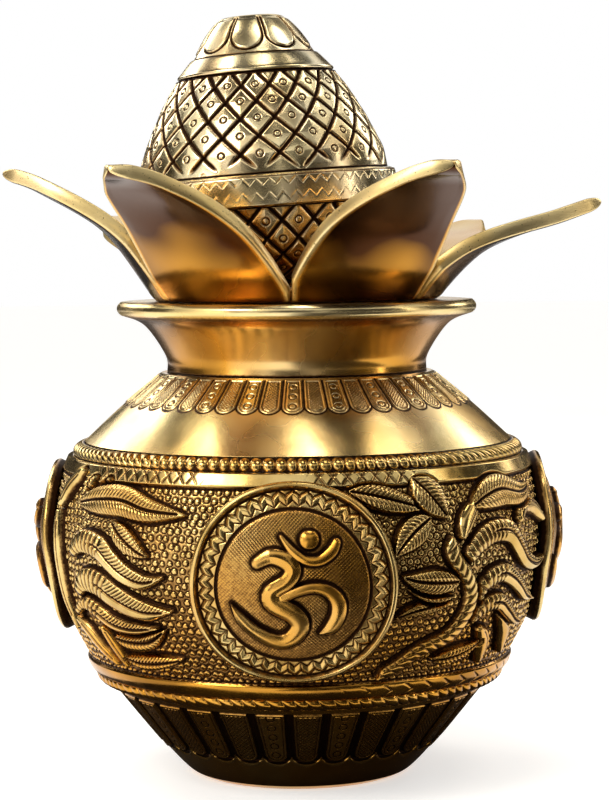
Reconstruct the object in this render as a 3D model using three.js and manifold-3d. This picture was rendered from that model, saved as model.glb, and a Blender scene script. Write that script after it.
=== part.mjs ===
// A brass kalash: a ritual water pot with a crown of seven mango leaves and a coconut on top.
// Millimetres, +Z up, the origin at the centre of the flat base, the front towards -Y.
import * as THREE from 'three';
import Module from 'manifold-3d';

const wasm = await Module();
wasm.setup();

// Walls and clearances
const POT_WALL = 3.2;
const COCONUT_WALL = 3;
const JOINT_GAP = 0.3;
const COLLAR_CLEARANCE = 0.8;

// Pot, from the base up: the height of each casting, and its radii or the steps between them
const BASE_RADIUS = 38.6;
const BASE_CORNER = 4.8;
const BOWL_HEIGHT = 34.8;
const LOWER_ROPE_HEIGHT = 4.4;
const LOWER_ROPE_STEP = 5.8;
const BELLY_FOOT_RADIUS = 75.6;
const BELLY_HEIGHT = 79.3;
const BELLY_RADIUS = 92.6;
const BELLY_TOP_RADIUS = 84.2;
const UPPER_ROPE_HEIGHT = 4.3;
const UPPER_ROPE_STEP = 5.2;
const SHOULDER_HEIGHT = 25;
const NECK_RADIUS = 48.2;
const NECK_HEIGHT = 26;
const LIP_RADIUS = 66.5;
const LIP_THICKNESS = 5;
const MOUTH_RADIUS = 46.5;

// Round plaques on the belly, between its two plain bands
const PLAQUE_FOOT_MARGIN = 9.8;
const PLAQUE_TOP_MARGIN = 4.2;
const PLAQUE_THICKNESS = 4.4;
const PLAQUE_RIM_WIDTH = 2.6;
const PLAQUE_BAND_WIDTH = 5.8;
const PLAQUE_GROOVE_WIDTH = 0.8;
const SIGN_HEIGHT = 2.6;
const JOIN_TOLERANCE = 0.05;

// Carved relief: its height on the belly, its foot inside the wall, the clear ring round each
// plaque, the drawn height of the panels, and the coconut's lattice
const CARVING_HEIGHT = 2.7;
const CARVING_ROOT = 1.6;
const CARVING_STEP = 7;
const PLAQUE_CLEARANCE = 0.6;
const DRAWN_BELLY_HEIGHT = 79.3;
const LATTICE_COUNT = 20;
const LATTICE_TALL = 14.1;
const LATTICE_DEPTH = 0.9;

// Leaf crown
const CROWN_FOOT_RADIUS = 52;
const CUP_FLOOR = 3;
const CUP_HEIGHT = 5;
const CUP_WALL = 3;
const CUP_CLEARANCE = 1;
const COLLAR_DEPTH = 10;
const COLLAR_WALL = 3;
const LEAF_THICKNESS = 5;
const LEAF_HALF_WIDTH = 25;
const LEAF_MID_REACH = 19;
const LEAF_MID_SHARE = 0.55;
const LEAF_ROUNDNESS = 0.7;

// Coconut, which leans to the left of the pot's axis
const COCONUT_LEAN = 4;
const COCONUT_OFFSET = -8.8;
const COCONUT_SEAT_RADIUS = 24;
const COCONUT_LOWER_HEIGHT = 28.2;
const COCONUT_LOWER_RADIUS = 46.6;
const BELT_HEIGHT = 11.8;
const BELT_RADIUS = 48.8;
const DOME_HEIGHT = 36.4;
const DOME_FOOT_RADIUS = 46;
const DOME_TOP_RADIUS = 29.6;
const RING_HEIGHT = 7.1;
const RING_FOOT_RADIUS = 28.8;
const RING_TOP_RADIUS = 23.4;
const TIP_HEIGHT = 14.5;
const TIP_FOOT_RADIUS = 22.4;
const TIP_TOP_RADIUS = 12;

// Roundness of the castings
const POT_SEGMENTS = 36;
const COCONUT_SEGMENTS = 28;
const PLAQUE_SEGMENTS = 28;

// Heights that follow from the sizes above
const lowerRopeBase = BOWL_HEIGHT + JOINT_GAP;
const bellyBase = lowerRopeBase + LOWER_ROPE_HEIGHT + JOINT_GAP;
const upperRopeBase = bellyBase + BELLY_HEIGHT + JOINT_GAP;
const shoulderBase = upperRopeBase + UPPER_ROPE_HEIGHT + JOINT_GAP;
const neckBase = shoulderBase + SHOULDER_HEIGHT + JOINT_GAP;
const lipTop = neckBase + NECK_HEIGHT;
const cupBase = lipTop + JOINT_GAP;
const leafRootRadius = CROWN_FOOT_RADIUS - LEAF_THICKNESS / 2;
const bowlRimRadius = BELLY_FOOT_RADIUS - LOWER_ROPE_STEP;
const shoulderRadius = BELLY_TOP_RADIUS - UPPER_ROPE_STEP;

// Leaves: name, the azimuths of its two root corners and of its tip from the front, how far the tip
// stands from the axis, and how high it stands above the pot's lip
const LEAVES = [
  { name: 'leaf_front_left', roots: [-62, -2], tip: -37, reach: 104, rise: 46.8 },
  { name: 'leaf_front_right', roots: [-2, 55], tip: 30, reach: 106.5, rise: 47.2 },
  { name: 'leaf_left', roots: [-113, -62], tip: -84, reach: 107.5, rise: 47.4 },
  { name: 'leaf_right', roots: [55, 106], tip: 84, reach: 112.5, rise: 35.2 },
  { name: 'leaf_back_left', roots: [-164, -113], tip: -136, reach: 108, rise: 31 },
  { name: 'leaf_back_right', roots: [106, 157], tip: 137, reach: 108, rise: 28.2 },
  { name: 'leaf_back', roots: [157, 196], tip: 178, reach: 104, rise: 42 },
];

// Plaques: name, azimuth, size against the front one, and how far the centre is set higher
const PLAQUES = [
  { name: 'plaque_front', azimuth: -1, size: 1, raised: 0 },
  { name: 'plaque_right', azimuth: 89, size: 0.9, raised: 5.5 },
  { name: 'plaque_back', azimuth: 179, size: 0.9, raised: 4.5 },
  { name: 'plaque_left', azimuth: -91, size: 0.9, raised: 3.5 },
];

// Brass as it shows on the photographed pieces
const polishedBrass = { color: 0xc79a4b, roughness: 0.24, metalness: 1 };
const carvedBrass = { color: 0xa8803c, roughness: 0.38, metalness: 1 };
const leafBrass = { color: 0xd0a552, roughness: 0.18, metalness: 1 };

function mesh(name, geometry, finish) {
  const piece = new THREE.Mesh(geometry, new THREE.MeshStandardMaterial(finish));
  piece.name = name;
  return piece;
}

// A smooth run of points through a few [radius, height] pairs
function smooth(pairs, steps) {
  const curve = new THREE.SplineCurve(pairs.map(([r, z]) => new THREE.Vector2(r, z)));
  return curve.getSpacedPoints(steps);
}

function turned(points, segments) {
  const geometry = new THREE.LatheGeometry(points, segments);
  geometry.rotateX(Math.PI / 2);
  return geometry;
}

// The inner side of a wall whose outer side runs upwards: each point moves square to the wall,
// and the two ends stay level with the outer ends
function innerSide(outer, wall) {
  return outer.map((point, i) => {
    const before = outer[Math.max(i - 1, 0)];
    const after = outer[Math.min(i + 1, outer.length - 1)];
    const run = after.clone().sub(before).normalize();
    if (i === 0 || i === outer.length - 1) {
      return new THREE.Vector2(point.x - wall / Math.max(run.y, 0.6), point.y);
    }
    const height = THREE.MathUtils.clamp(point.y + run.x * wall, outer[0].y, outer.at(-1).y);
    return new THREE.Vector2(point.x - run.y * wall, height);
  });
}

// A ring-shaped wall, open at both ends
function wallRing(outer, wall, segments) {
  const inner = innerSide(outer, wall).reverse();
  return turned([...outer, ...inner, outer[0].clone()], segments);
}

// A low ring whose inner side is one straight slope from end to end
function lowRing(outer, wall, segments) {
  const foot = new THREE.Vector2(outer[0].x - wall, outer[0].y);
  const top = new THREE.Vector2(outer.at(-1).x - wall, outer.at(-1).y);
  return turned([...outer, top, foot, outer[0].clone()], segments);
}

function baseBowl() {
  const outer = smooth([
    [BASE_RADIUS, 0],
    [BASE_RADIUS + BASE_CORNER, BASE_CORNER * 0.65],
    [BASE_RADIUS + BASE_CORNER + 9.8, BASE_CORNER + 9.2],
    [bowlRimRadius, BOWL_HEIGHT],
  ], 7);
  const inner = smooth([
    [bowlRimRadius - POT_WALL * 1.4, BOWL_HEIGHT],
    [BASE_RADIUS + 10.6, 14 + POT_WALL * 0.3],
    [BASE_RADIUS - 2, POT_WALL + 1.6],
    [BASE_RADIUS - 10, POT_WALL],
  ], 5);
  const floor = [new THREE.Vector2(0, 0)];
  const inside = [new THREE.Vector2(0, POT_WALL)];
  return turned([...floor, ...outer, ...inner, ...inside], POT_SEGMENTS);
}

function lowerRopeRing() {
  const outer = smooth([
    [bowlRimRadius + 0.6, lowerRopeBase],
    [BELLY_FOOT_RADIUS - 1, lowerRopeBase + LOWER_ROPE_HEIGHT * 0.45],
    [BELLY_FOOT_RADIUS, lowerRopeBase + LOWER_ROPE_HEIGHT],
  ], 4);
  return lowRing(outer, POT_WALL, POT_SEGMENTS);
}

// The bare belly without its relief, from its foot to its top
function bellyCurve() {
  return new THREE.SplineCurve([
    new THREE.Vector2(BELLY_FOOT_RADIUS, bellyBase),
    new THREE.Vector2(BELLY_FOOT_RADIUS + 3.2, bellyBase + BELLY_HEIGHT * 0.08),
    new THREE.Vector2(BELLY_RADIUS - 5.2, bellyBase + BELLY_HEIGHT * 0.31),
    new THREE.Vector2(BELLY_RADIUS, bellyBase + BELLY_HEIGHT * 0.62),
    new THREE.Vector2(BELLY_RADIUS - 2.2, bellyBase + BELLY_HEIGHT * 0.82),
    new THREE.Vector2(BELLY_TOP_RADIUS, bellyBase + BELLY_HEIGHT),
  ]);
}

const belly = bellyCurve();
const bellyLength = belly.getLength();
const frontPlaqueRadius = (bellyLength - PLAQUE_FOOT_MARGIN - PLAQUE_TOP_MARGIN) / 2;
const plaqueRise = PLAQUE_FOOT_MARGIN + frontPlaqueRadius;

// Carved forms of the panels left and right of the front plaque: what each one is, its width, and its
// middle line from the stalk to the tip as azimuths from the front and heights above the belly's foot
const LEFT_PANEL = [
  { kind: 'leaf', width: 11.5, line: [[-58, 65.5], [-50, 67.5], [-42, 68], [-34, 65.5], [-24, 64.7]] },
  { kind: 'leaf', width: 5, line: [[-54, 76], [-55, 72], [-54, 66.5]] },
  { kind: 'leaf', width: 5.5, line: [[-48, 76], [-50, 72], [-53, 67]] },
  { kind: 'bud', width: 6.5, line: [[-61, 76], [-65, 71], [-67, 64]] },
  { kind: 'leaf', width: 8, line: [[-44, 61], [-40, 56], [-36, 52], [-33, 50]] },
  { kind: 'curl', width: 9, line: [[-58, 49], [-54, 53], [-48, 52], [-44, 47.5], [-40, 43.5],
    [-35, 41.5], [-30, 43.5]] },
  { kind: 'curl', width: 10, line: [[-58, 35], [-55, 39], [-50, 39], [-45, 35.5], [-40, 32.5],
    [-35, 31], [-28.5, 32]] },
  { kind: 'curl', width: 6, line: [[-61, 27], [-57, 31], [-52, 29], [-47, 25.5], [-41, 24.3],
    [-33, 25.5]] },
  { kind: 'leaf', width: 8, line: [[-48, 20], [-42, 19.5], [-36, 20.5], [-31, 25]] },
  { kind: 'leaf', width: 6.5, line: [[-47, 13], [-42, 12], [-36, 12.5], [-28, 14.5]] },
  { kind: 'bud', width: 5.5, line: [[-62, 24], [-59, 20], [-55, 14], [-51, 10]] },
  { kind: 'bud', width: 4.5, line: [[-51, 23], [-49, 16], [-47, 10]] },
  { kind: 'bud', width: 5, line: [[-67, 62], [-66.5, 52], [-67, 40], [-67, 30], [-64, 21]] },
];
const RIGHT_PANEL = [
  { kind: 'leaf', width: 9, line: [[11, 72.5], [16, 71], [22, 68.5], [29, 65.5]] },
  { kind: 'leaf', width: 12, line: [[26.5, 76], [29, 72], [31.5, 67], [34, 62]] },
  { kind: 'leaf', width: 10, line: [[29.5, 63], [25, 58.5], [21.5, 53], [20.5, 50]] },
  { kind: 'leaf', width: 9, line: [[37, 40.5], [31, 41], [26, 42], [22, 44]] },
  { kind: 'leaf', width: 5, line: [[36, 36], [29, 36.5], [24, 39]] },
  { kind: 'leaf', width: 5.5, line: [[36, 34.5], [30, 33], [25, 31.5], [21, 29]] },
  { kind: 'bud', width: 6, line: [[34, 56], [35, 49], [39, 42], [41, 35], [40, 28], [36, 21], [29, 17],
    [24, 12], [19, 8]] },
  { kind: 'leaf', width: 12, line: [[41, 65], [46, 68], [52, 69.5], [60, 67.5], [67, 70]] },
  { kind: 'bud', width: 7, line: [[42, 66], [39, 61], [37, 56]] },
  { kind: 'curl', width: 8, line: [[38, 46], [41, 52], [46, 56], [52, 55.5], [56, 50], [60, 44.5],
    [66, 42], [71, 45]] },
  { kind: 'curl', width: 7, line: [[43, 33], [45, 39], [50, 41.5], [54, 39.5], [58, 36], [63, 31],
    [68, 29]] },
  { kind: 'curl', width: 6.5, line: [[42, 26], [46, 30.5], [51, 31], [55, 27.5], [60, 23], [65, 21]] },
  { kind: 'bud', width: 7, line: [[57, 59], [60, 63], [65, 62], [69, 57]] },
  { kind: 'leaf', width: 6, line: [[33, 13], [38, 13.5], [43, 15], [48, 18]] },
  { kind: 'bud', width: 7, line: [[46, 22], [49, 17], [50, 10]] },
  { kind: 'bud', width: 7.5, line: [[53, 26], [57, 20], [59, 12]] },
];

// How wide each kind is along its middle line, from the stalk to the tip, against its full width
const CARVED_WIDTHS = {
  leaf: [0.35, 0.85, 1, 0.95, 0.65, 0.08],
  curl: [0.5, 0.95, 1, 0.9, 0.7, 0.12],
  bud: [0.45, 0.9, 1, 0.95, 0.8, 0.4],
};

// A spot on the belly's face at an azimuth in degrees and a drawn height, and `offset` out of it
function onFace(azimuth, up, offset) {
  const height = (up * BELLY_HEIGHT) / DRAWN_BELLY_HEIGHT + bellyBase;
  let low = 0;
  let high = 1;
  for (let step = 0; step < 16; step += 1) {
    const middle = (low + high) / 2;
    if (belly.getPoint(middle).y < height) {
      low = middle;
    } else {
      high = middle;
    }
  }
  const foot = belly.getPoint(low);
  const run = belly.getTangent(low);
  const r = foot.x + run.y * offset;
  const turn = THREE.MathUtils.degToRad(azimuth);
  return [r * Math.sin(turn), -r * Math.cos(turn), foot.y - run.x * offset];
}

// One carved form: sections along its middle line, each narrower on top than at its root
function carvedForm({ kind, width, line }) {
  const perDegree = THREE.MathUtils.degToRad(BELLY_RADIUS);
  const middle = new THREE.SplineCurve(line.map(([x, y]) => new THREE.Vector2(x * perDegree, y)));
  const sections = Math.max(Math.round(middle.getLength() / CARVING_STEP), 4);
  const widths = CARVED_WIDTHS[kind];
  const positions = [];
  for (let i = 0; i <= sections; i += 1) {
    const share = i / sections;
    const place = share * (widths.length - 1);
    const step = Math.min(Math.floor(place), widths.length - 2);
    const form = THREE.MathUtils.lerp(widths[step], widths[step + 1], place - step);
    const along = middle.getUtoTmapping(share);
    const spot = middle.getPoint(along);
    const run = middle.getTangent(along);
    for (const [side, offset] of [[0.8, CARVING_HEIGHT], [-0.8, CARVING_HEIGHT],
      [-1, -CARVING_ROOT], [1, -CARVING_ROOT]]) {
      const reach = (side * form * width) / 2;
      const azimuth = (spot.x - run.y * reach) / perDegree;
      positions.push(...onFace(azimuth, spot.y + run.x * reach, offset));
    }
  }
  return sweptBody(positions, sections, 4);
}

// The room that each plaque needs among the carved forms
function plaqueRoom({ azimuth, size, raised }) {
  const radius = frontPlaqueRadius * size + PLAQUE_CLEARANCE;
  const top = CARVING_HEIGHT + 4;
  const rings = [[radius / 2, top], [radius, top], [radius, -0.5], [radius / 2, -0.5]];
  return solid(roundBody(rings, raised)).rotate([0, 0, azimuth]);
}

// The belly's wall with its two carved panels, which come twice round it
function bellyShell() {
  const outer = belly.getSpacedPoints(11);
  const wall = [...outer, ...innerSide(outer, POT_WALL).reverse()];
  const ring = wasm.Manifold.revolve([wall.map(({ x, y }) => [x, y])], POT_SEGMENTS);
  const forms = [...LEFT_PANEL, ...RIGHT_PANEL].map((form) => solid(carvedForm(form)));
  const front = wasm.Manifold.union(forms);
  const back = front.rotate([0, 0, 180]);
  const rooms = wasm.Manifold.union(PLAQUES.map(plaqueRoom));
  const carved = ring.add(front.add(back).subtract(rooms));
  return fromSolid(carved.simplify(JOIN_TOLERANCE));
}

function upperRopeRing() {
  const outer = smooth([
    [BELLY_TOP_RADIUS - UPPER_ROPE_STEP * 0.2, upperRopeBase],
    [BELLY_TOP_RADIUS - UPPER_ROPE_STEP * 0.4, upperRopeBase + UPPER_ROPE_HEIGHT / 2],
    [shoulderRadius + 0.6, upperRopeBase + UPPER_ROPE_HEIGHT],
  ], 3);
  return lowRing(outer, POT_WALL, POT_SEGMENTS);
}

function shoulderShell() {
  const outer = smooth([
    [shoulderRadius, shoulderBase],
    [(shoulderRadius + NECK_RADIUS) / 2 + 1.9, shoulderBase + SHOULDER_HEIGHT / 2],
    [NECK_RADIUS + 2.3, shoulderBase + SHOULDER_HEIGHT],
  ], 4);
  return wallRing(outer, POT_WALL, POT_SEGMENTS);
}

// The flared neck with its thick lip; the leaf crown's foot stands on the flat top
function neckAndLip() {
  const lipFoot = lipTop - LIP_THICKNESS;
  const flare = smooth([
    [NECK_RADIUS, neckBase],
    [NECK_RADIUS + 0.7, neckBase + NECK_HEIGHT * 0.24],
    [NECK_RADIUS + 8.2, lipFoot - 3.8],
    [LIP_RADIUS - 2, lipFoot],
  ], 7);
  const edge = [
    new THREE.Vector2(LIP_RADIUS, lipFoot + LIP_THICKNESS * 0.3),
    new THREE.Vector2(LIP_RADIUS, lipFoot + LIP_THICKNESS * 0.72),
    new THREE.Vector2(LIP_RADIUS - 1.4, lipTop),
    new THREE.Vector2(MOUTH_RADIUS, lipTop),
    new THREE.Vector2(MOUTH_RADIUS, lipTop - COLLAR_DEPTH - COLLAR_CLEARANCE),
    new THREE.Vector2(NECK_RADIUS - POT_WALL, neckBase),
  ];
  return turned([...flare, ...edge, flare[0].clone()], POT_SEGMENTS);
}

// A spot on the plaque at the very front: `across` and `up` from its centre along the belly, and
// `offset` out of it
function onBelly(across, up, offset) {
  const along = belly.getUtoTmapping((plaqueRise + up) / bellyLength);
  const foot = belly.getPoint(along);
  const run = belly.getTangent(along);
  const r = foot.x + run.y * offset;
  const turn = across / foot.x;
  return [r * Math.sin(turn), -r * Math.cos(turn), foot.y - run.x * offset];
}

// A round body at the very front of the belly, from rings given as [radius, offset from the face]
function roundBody(rings, raised) {
  const positions = [...onBelly(0, raised, rings[0][1])];
  for (const [radius, offset] of rings) {
    for (let i = 0; i < PLAQUE_SEGMENTS; i += 1) {
      const angle = (i / PLAQUE_SEGMENTS) * Math.PI * 2;
      const up = radius * Math.sin(angle) + raised;
      positions.push(...onBelly(radius * Math.cos(angle), up, offset));
    }
  }
  positions.push(...onBelly(0, raised, rings.at(-1)[1]));
  return ringedBody(positions, rings.length, PLAQUE_SEGMENTS);
}

// A round plaque with a raised rim, a band and a sunk groove
function plaqueDisc(plaqueRadius, raised) {
  const bandFoot = plaqueRadius - PLAQUE_RIM_WIDTH;
  const discRadius = bandFoot - PLAQUE_BAND_WIDTH;
  const disc = PLAQUE_THICKNESS - 1;
  const top = [
    [discRadius / 2, disc],
    [discRadius - 2 * PLAQUE_GROOVE_WIDTH, disc],
    [discRadius - PLAQUE_GROOVE_WIDTH, disc - 1],
    [discRadius, PLAQUE_THICKNESS - 0.8],
    [bandFoot, PLAQUE_THICKNESS - 0.8],
    [bandFoot + 0.5, PLAQUE_THICKNESS],
    [plaqueRadius, PLAQUE_THICKNESS],
  ];
  const under = [1, 0.8, 0.6, 0.4, 0.2].map((share) => [plaqueRadius * share, JOINT_GAP]);
  return roundBody([...top, ...under], raised);
}

// The raised sign on a plaque, as strokes: each has the middle line's points and its half widths, as
// shares of the plaque's radius
const SIGN_STROKES = [
  {
    line: [[-0.33, 0.25], [-0.2, 0.31], [-0.06, 0.27], [0, 0.19], [-0.06, 0.08], [-0.2, -0.02],
      [-0.18, -0.13], [0, -0.24], [0.06, -0.36], [-0.03, -0.49], [-0.16, -0.51], [-0.34, -0.42],
      [-0.48, -0.29], [-0.58, -0.14]],
    half: [0.06, 0.075, 0.085, 0.085, 0.085, 0.09, 0.1, 0.1, 0.095, 0.09, 0.08, 0.07, 0.06, 0.012],
  },
  {
    line: [[-0.1, -0.08], [0.05, -0.01], [0.2, 0.02], [0.33, -0.02], [0.41, -0.12], [0.41, -0.25],
      [0.34, -0.38], [0.24, -0.43]],
    half: [0.05, 0.055, 0.06, 0.07, 0.08, 0.08, 0.07, 0.02],
  },
  {
    line: [[-0.11, 0.48], [-0.01, 0.36], [0.11, 0.28], [0.24, 0.27], [0.35, 0.34], [0.4, 0.42]],
    half: [0.025, 0.045, 0.05, 0.055, 0.06, 0.05],
  },
  {
    line: [[0.07, 0.45], [0.11, 0.45], [0.19, 0.45], [0.23, 0.45]],
    half: [0.035, 0.085, 0.085, 0.035],
  },
];

function stroke({ line, half }, plaqueRadius, raised) {
  const foot = PLAQUE_THICKNESS - 2;
  const top = PLAQUE_THICKNESS - 1 + SIGN_HEIGHT;
  const positions = [];
  line.forEach(([x, y], i) => {
    const [x0, y0] = line[Math.max(i - 1, 0)];
    const [x1, y1] = line[Math.min(i + 1, line.length - 1)];
    const run = new THREE.Vector2(x1 - x0, y1 - y0).normalize();
    for (const [side, height] of [[1, top], [-1, top], [-1, foot], [1, foot]]) {
      const across = (x - run.y * half[i] * side) * plaqueRadius;
      const up = (y + run.x * half[i] * side) * plaqueRadius + raised;
      positions.push(...onBelly(across, up, height));
    }
  });
  return sweptBody(positions, line.length - 1, 4);
}

function solid(geometry) {
  return new wasm.Manifold(new wasm.Mesh({
    numProp: 3,
    vertProperties: geometry.getAttribute('position').array,
    triVerts: Uint32Array.from(geometry.getIndex().array),
  }));
}

function fromSolid(body) {
  const { vertProperties, triVerts } = body.getMesh();
  return indexed(Array.from(vertProperties), Array.from(triVerts));
}

function plaque({ azimuth, size, raised }) {
  const radius = frontPlaqueRadius * size;
  const strokes = SIGN_STROKES.map((form) => solid(stroke(form, radius, raised)));
  const joined = strokes.reduce((body, part) => body.add(part), solid(plaqueDisc(radius, raised)));
  const turn = THREE.MathUtils.degToRad(azimuth);
  return fromSolid(joined.simplify(JOIN_TOLERANCE)).rotateZ(turn);
}

// A closed body from a first point, rings of points and a last point
function ringedBody(positions, rings, segments) {
  const last = rings * segments + 1;
  const faces = [];
  for (let i = 0; i < segments; i += 1) {
    const next = (i + 1) % segments;
    faces.push(0, 1 + i, 1 + next);
    for (let ring = 0; ring < rings - 1; ring += 1) {
      const row = 1 + ring * segments;
      faces.push(row + i, row + segments + i, row + segments + next);
      faces.push(row + i, row + segments + next, row + next);
    }
    const row = 1 + (rings - 1) * segments;
    faces.push(row + i, last, row + next);
  }
  return indexed(positions, faces);
}

function indexed(positions, faces) {
  const geometry = new THREE.BufferGeometry();
  geometry.setAttribute('position', new THREE.Float32BufferAttribute(positions, 3));
  geometry.setIndex(faces);
  geometry.computeVertexNormals();
  return geometry;
}

// The dish between the leaves' roots: a flat floor on the pot's lip and a low wall
function leafCup() {
  const outside = leafRootRadius - LEAF_THICKNESS / 2 - CUP_CLEARANCE;
  const floorTop = cupBase + CUP_FLOOR;
  return turned([
    new THREE.Vector2(0, cupBase),
    new THREE.Vector2(outside, cupBase),
    new THREE.Vector2(outside, cupBase + CUP_HEIGHT),
    new THREE.Vector2(outside - CUP_WALL, cupBase + CUP_HEIGHT),
    new THREE.Vector2(outside - CUP_WALL - 2, floorTop),
    new THREE.Vector2(0, floorTop),
  ], POT_SEGMENTS);
}

// The collar under the cup, which keeps the crown central in the mouth
function locatingCollar() {
  const outside = MOUTH_RADIUS - COLLAR_CLEARANCE;
  const top = cupBase - JOINT_GAP;
  const foot = top - COLLAR_DEPTH;
  return turned([
    new THREE.Vector2(outside - COLLAR_WALL, foot),
    new THREE.Vector2(outside - 0.6, foot),
    new THREE.Vector2(outside, foot + 1),
    new THREE.Vector2(outside, top),
    new THREE.Vector2(outside - COLLAR_WALL, top),
    new THREE.Vector2(outside - COLLAR_WALL, foot),
  ], POT_SEGMENTS);
}

// One leaf: cross-sections along its middle line, each an arc about the pot's axis at the root and
// flatter towards the tip, inside the leaf's own share of the circle
function leaf({ roots, tip, reach, rise }) {
  const sections = 9;
  const strips = 4;
  const middle = new THREE.SplineCurve([
    new THREE.Vector2(leafRootRadius, cupBase),
    new THREE.Vector2(leafRootRadius + LEAF_MID_REACH, cupBase + rise * LEAF_MID_SHARE),
    new THREE.Vector2(reach - 14, cupBase + rise - 5),
    new THREE.Vector2(reach, cupBase + rise),
  ]);
  const rootAngle = (roots[0] + roots[1]) / 2;
  const gapAngle = THREE.MathUtils.radToDeg(JOINT_GAP / leafRootRadius);
  const outline = new THREE.SplineCurve([
    new THREE.Vector2(0, 1.12),
    new THREE.Vector2(0.25, 1.08),
    new THREE.Vector2(0.5, 0.95),
    new THREE.Vector2(0.75, 0.66),
    new THREE.Vector2(1, 0.1),
  ]);
  const positions = [];
  for (let i = 0; i <= sections; i += 1) {
    const share = i / sections;
    const along = middle.getUtoTmapping(share);
    const spot = middle.getPoint(along);
    const run = i === 0 ? new THREE.Vector2(0, 1) : middle.getTangent(along);
    const width = LEAF_HALF_WIDTH * outline.getPoint(share).y;
    const half = THREE.MathUtils.radToDeg(width / spot.x);
    const azimuth = THREE.MathUtils.lerp(rootAngle, tip, Math.min(share * 1.3, 1));
    const thick = (LEAF_THICKNESS / 2) * (share > 0.95 ? 0.7 : 1);
    const roundness = THREE.MathUtils.lerp(1, LEAF_ROUNDNESS, Math.min(share * 2.5, 1));
    const margin = gapAngle + THREE.MathUtils.radToDeg(((1 - roundness) * thick) / spot.x);
    const left = Math.max(azimuth - half, roots[0] + margin);
    const right = Math.min(azimuth + half, roots[1] - margin);
    const centre = (left + right) / 2;
    for (const side of [1, -1]) {
      for (let j = 0; j <= strips; j += 1) {
        const across = side > 0 ? j / strips : 1 - j / strips;
        const swing = THREE.MathUtils.degToRad(THREE.MathUtils.lerp(left, right, across) - centre);
        const reachOut = spot.x * (roundness + (1 - roundness) / Math.cos(swing));
        const turn = THREE.MathUtils.degToRad(centre) + swing;
        const facing = THREE.MathUtils.degToRad(centre) + swing * roundness;
        const out = run.y * thick * side;
        positions.push(reachOut * Math.sin(turn) + out * Math.sin(facing));
        positions.push(-reachOut * Math.cos(turn) - out * Math.cos(facing));
        positions.push(spot.y - run.x * thick * side);
      }
    }
  }
  return sweptBody(positions, sections, 2 * (strips + 1));
}

// A closed body from cross-sections with the same number of points
function sweptBody(positions, sections, count) {
  const faces = [];
  for (let i = 0; i < sections; i += 1) {
    for (let j = 0; j < count; j += 1) {
      const next = (j + 1) % count;
      const row = i * count;
      faces.push(row + j, row + next, row + count + next);
      faces.push(row + j, row + count + next, row + count + j);
    }
  }
  const end = sections * count;
  for (let j = 1; j < count - 1; j += 1) {
    faces.push(0, j + 1, j);
    faces.push(end, end + j, end + j + 1);
  }
  return indexed(positions, faces);
}

// Coconut pieces, each made about its own axis with z counted from the coconut's foot
const beltBase = COCONUT_LOWER_HEIGHT + JOINT_GAP;
const domeBase = beltBase + BELT_HEIGHT + JOINT_GAP;
const ringBase = domeBase + DOME_HEIGHT + JOINT_GAP;
const tipBase = ringBase + RING_HEIGHT + JOINT_GAP;

function coconutLowerShell() {
  const outer = smooth([
    [COCONUT_SEAT_RADIUS, 0],
    [COCONUT_SEAT_RADIUS + 9, 4.5],
    [COCONUT_LOWER_RADIUS - 4, COCONUT_LOWER_HEIGHT * 0.5],
    [COCONUT_LOWER_RADIUS, COCONUT_LOWER_HEIGHT],
  ], 6);
  const inner = smooth([
    [COCONUT_LOWER_RADIUS - COCONUT_WALL, COCONUT_LOWER_HEIGHT],
    [COCONUT_LOWER_RADIUS - 8, COCONUT_LOWER_HEIGHT * 0.5 + 1],
    [COCONUT_SEAT_RADIUS, COCONUT_WALL],
  ], 4);
  const foot = [new THREE.Vector2(0, 0)];
  const inside = [new THREE.Vector2(0, COCONUT_WALL)];
  return turned([...foot, ...outer, ...inner, ...inside], COCONUT_SEGMENTS);
}

function coconutBelt() {
  const outer = [
    new THREE.Vector2(BELT_RADIUS - 1, beltBase),
    new THREE.Vector2(BELT_RADIUS, beltBase + 1.4),
    new THREE.Vector2(BELT_RADIUS, beltBase + BELT_HEIGHT - 1.4),
    new THREE.Vector2(BELT_RADIUS - 1, beltBase + BELT_HEIGHT),
  ];
  return lowRing(outer, COCONUT_WALL + 1, COCONUT_SEGMENTS);
}

// A turned wall whose outer face is cut by a lattice: crossings of the grooves and middles of the
// diamonds take turns along each ring of points
function latticeWall(pairs, wall) {
  const curve = new THREE.SplineCurve(pairs.map(([r, z]) => new THREE.Vector2(r, z)));
  const columns = 2 * LATTICE_COUNT;
  const length = curve.getLength();
  const rows = Math.floor((2 * length) / LATTICE_TALL);
  const shares = Array.from({ length: rows }, (_, row) => (row * LATTICE_TALL) / 2 / length);
  const outer = [...shares, 1].map((share) => curve.getPointAt(share));
  const inner = innerSide(outer, wall).reverse();
  const positions = [];
  [...outer, ...inner].forEach((point, row) => {
    const cut = row > 0 && row < rows ? LATTICE_DEPTH : 0;
    for (let i = 0; i < columns; i += 1) {
      const r = point.x - ((row + i) % 2 === 0 ? cut : 0);
      const turn = (i / columns) * Math.PI * 2;
      positions.push(r * Math.sin(turn), -r * Math.cos(turn), point.y);
    }
  });
  return quiltedBody(positions, 2 * outer.length, columns);
}

// A ring-shaped body from closed rows of points, with each quad split along its sunk corners
function quiltedBody(positions, rows, columns) {
  const faces = [];
  for (let row = 0; row < rows; row += 1) {
    const above = ((row + 1) % rows) * columns;
    const here = row * columns;
    for (let i = 0; i < columns; i += 1) {
      const next = (i + 1) % columns;
      if ((row + i) % 2 === 0) {
        faces.push(here + i, here + next, above + next, here + i, above + next, above + i);
      } else {
        faces.push(here + i, here + next, above + i, here + next, above + next, above + i);
      }
    }
  }
  return indexed(positions, faces);
}

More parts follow.
